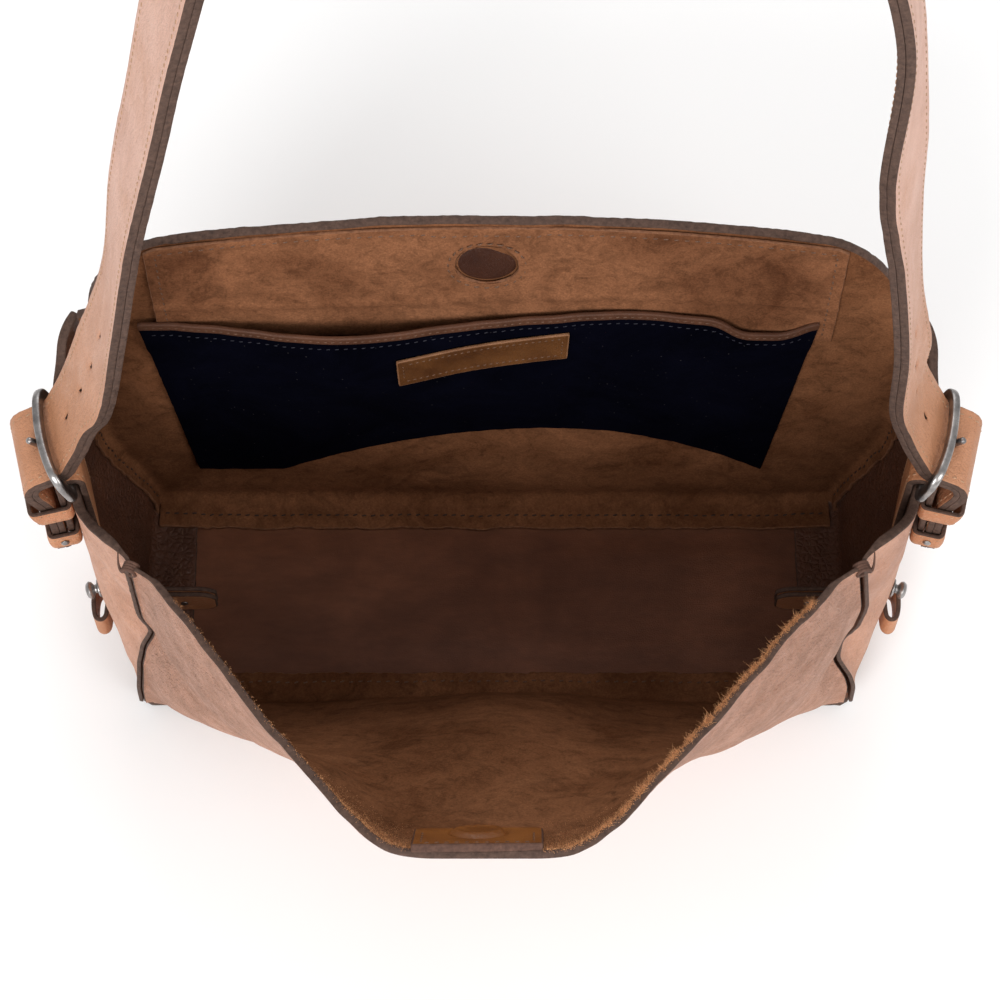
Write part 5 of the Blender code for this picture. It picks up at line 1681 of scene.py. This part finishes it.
def build_keepers(side):
    prefix = word(side)
    build_keeper(side, prefix + "_fixed_keeper", *FIXED_KEEPER, 0.0195, 0.0222, BAG)
    low, high = SLIDING_KEEPER
    build_keeper(side, prefix + "_sliding_keeper", low, high, 0.0172, 0.0172, prefix + "_slider")
    half = STRAP_WIDTH / 2 + KEEPER_PLAY + KEEPER / 2 + GAP
    face = on_side(side, 0.0110, -half, (low + high) / 2)
    cap = [(0.0, 0.0), (0.0, 0.0020), (0.0006, 0.0019), (0.0011, 0.0011), (0.0013, 0.0)]
    head = lathe(prefix + "_keeper_rivet_head", cap, face, -side_axis(side), [METAL], 24)
    with_body(head, prefix + "_slider", "antique_gunmetal", prefix + "_keeper_rivet")


def build_stud(side):
    point, normal = on_gusset(side, STUD_Y, STUD_Z)
    face = HIDE / 2 + GAP
    knob = [(-HIDE / 2 - 0.0005, 0.0), (-HIDE / 2 - 0.0005, 0.0018), (face, 0.0018), (face, 0.0045),
            (face + 0.0010, 0.0045), (face + 0.0016, 0.0022), (face + 0.0028, 0.0021),
            (face + 0.0038, 0.0038), (face + 0.0052, 0.0044), (face + 0.0066, 0.0034),
            (face + 0.0071, 0.0018), (face + 0.0072, 0.0)]
    body = lathe("%s_stud_knob" % word(side), knob, point, normal, [METAL])
    with_bag(body, "antique_gunmetal", "%s_stud" % word(side))
    back = -HIDE / 2 - 3 * GAP
    screw = [(back - 0.0016, 0.0), (back - 0.0016, 0.0016), (back - 0.0022, 0.0020), (back - 0.0022, 0.0040),
             (back - 0.0010, 0.0050), (back, 0.0050), (back, 0.0026), (back - 0.0008, 0.0026),
             (back - 0.0008, 0.0)]
    body = lathe("%s_stud_screw_head" % word(side), screw, point, normal, [METAL])
    with_bag(body, "antique_gunmetal", "%s_stud_screw" % word(side))


def build_side_loop(side):
    """A strip through the gusset, folded into an open loop outside and a riveted tab inside."""
    point, _ = on_gusset(side, LOOP_Y, LOOP_Z)
    leg = LOOP_T / 2 + 0.0004
    route = [(-0.047, leg), (-0.036, leg), (-0.020, leg), (-0.006, leg), (0.0, leg), (0.0044, leg + 0.0004),
             (0.0070, 0.0040), (0.0094, 0.0038), (0.0110, 0.0008), (0.0112, -0.0060),
             (0.0100, -0.0126), (0.0074, -0.0146), (0.0050, -0.0126), (0.0044, -0.0060),
             (0.0038, -0.0020), (0.0020, -leg), (0.0, -leg), (-0.006, -leg), (-0.020, -leg), (-0.036, -leg),
             (-0.047, -leg)]
    dense = spline([(side * (abs(point[0]) + out), point[1] + back, point[2]) for out, back in route], 7)
    half = LOOP_HALF_WIDTH
    offsets = [-half, -half + 0.0006, -half + 0.0018, -0.004, 0.0, 0.004, half - 0.0018, half - 0.0006, half]
    grid = np.array(ribbon_grid(dense, [(0.0, 0.0, 1.0)] * len(dense), offsets))
    for row in grid:
        inside = abs(point[0]) - abs(row[0][0])
        tip = max(0.0, inside - 0.039) / 0.008
        narrow = math.sqrt(max(0.0, 1.0 - 0.75 * min(1.0, tip) ** 2))
        row[:, 2] = point[2] + (row[:, 2] - point[2]) * narrow
    sheet = Sheet(grid, LOOP_T)
    body = sheet.build("%s_side_loop_strip" % word(side), [FITTING, FITTING, EDGE],
                       round_over=0.35, rough=0.0002)
    with_bag(body, "tan_leather", "%s_side_loop" % word(side))
    heads = leg + LOOP_T / 2 + 0.0001
    for index, inset in enumerate(RIVET_INSETS):
        centre = (side * (abs(point[0]) + inset), point[1], point[2])
        for face, sign in (("front", -1), ("back", 1)):
            head = [(heads, 0.0), (heads, 0.0018), (heads + 0.0005, 0.0017), (heads + 0.0009, 0.0)]
            node = "%s_side_loop_rivet_%s_%d" % (word(side), face, index + 1)
            cap = lathe(node + "_head", head, centre, (0, sign, 0), [METAL], 20)
            with_bag(cap, "antique_gunmetal", node)


# ---- stage --------------------------------------------------------------------------------------
def build_camera():
    """Looks steeply down on the open mouth from the front."""
    elevation, distance = math.radians(65.463), 1.3307
    target = Vector((0.0, 0.0, 0.1))
    forward = Vector((0.0, math.cos(elevation), -math.sin(elevation)))
    up = Vector((0.0, math.sin(elevation), math.cos(elevation)))
    data = bpy.data.cameras.new("camera")
    data.sensor_width = 36.0
    data.lens = 100.77
    data.shift_x = 0.0039
    data.shift_y = 0.0200
    data.clip_start = 0.05
    camera = bpy.data.objects.new("camera", data)
    place = target - forward * distance
    right = Vector((1.0, 0.0, 0.0))
    camera.matrix_world = Matrix((
        (right.x, up.x, -forward.x, place.x), (right.y, up.y, -forward.y, place.y),
        (right.z, up.z, -forward.z, place.z), (0.0, 0.0, 0.0, 1.0)))
    bpy.context.scene.collection.objects.link(camera)
    bpy.context.scene.camera = camera


def area_light(name, place, target, size, power):
    data = bpy.data.lights.new(name, "AREA")
    data.shape = "DISK"
    data.size = size
    data.energy = power
    light = bpy.data.objects.new(name, data)
    light.location = place
    light.rotation_euler = (Vector(target) - Vector(place)).to_track_quat("-Z", "Y").to_euler()
    bpy.context.scene.collection.objects.link(light)


def build_stage():
    floor_look = Look("floor_paper", 0.9, Specular_IOR_Level=0.1)
    shade = floor_look.ramp(floor_look.noise(3.0, 2.0), (0.3, (0.93, 0.93, 0.93)), (0.7, (0.96, 0.96, 0.96)))
    floor_look.finish(shade)
    size = 4.0
    corners = [(x * size, y * size, -0.0002) for x, y in ((-1, -1), (1, -1), (1, 1), (-1, 1))]
    floor = new_object("floor", corners, [[0, 1, 2, 3]], [floor_look.material], smooth=False)
    world = bpy.data.worlds.new("studio")
    world.use_nodes = True
    background = world.node_tree.nodes["Background"]
    background.inputs["Color"].default_value = (1.0, 1.0, 1.0, 1.0)
    background.inputs["Strength"].default_value = 0.64
    bpy.context.scene.world = world
    area_light("key", (-0.7, -1.9, 1.5), (0.0, -0.05, 0.1), 1.1, 34.0)
    area_light("fill", (1.2, -1.2, 1.4), (0.0, -0.05, 0.1), 1.2, 14.0)
    area_light("backdrop", (0.0, 1.5, 1.5), (0.0, 1.0, 0.0), 1.6, 14.0)
    bpy.context.scene.view_settings.view_transform = "Standard"


build_camera()
build_stage()
build_base()
front_sheet, front_bend = build_front_panel()
front_rim_fibres(front_sheet, front_bend)
build_back_panel()
build_facing()
build_disc()
build_pocket()
build_label()
build_tab()
build_strap()
for bag_side in (-1, 1):
    build_gusset(bag_side)
    seam_stitches(bag_side)
    build_tack(bag_side)
    build_chape(bag_side)
    build_frame(bag_side)
    build_prong(bag_side)
    build_keepers(bag_side)
    build_stud(bag_side)
    build_side_loop(bag_side)
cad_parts["back_magnet"].data.materials.clear()
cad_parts["back_magnet"].data.materials.append(METAL)
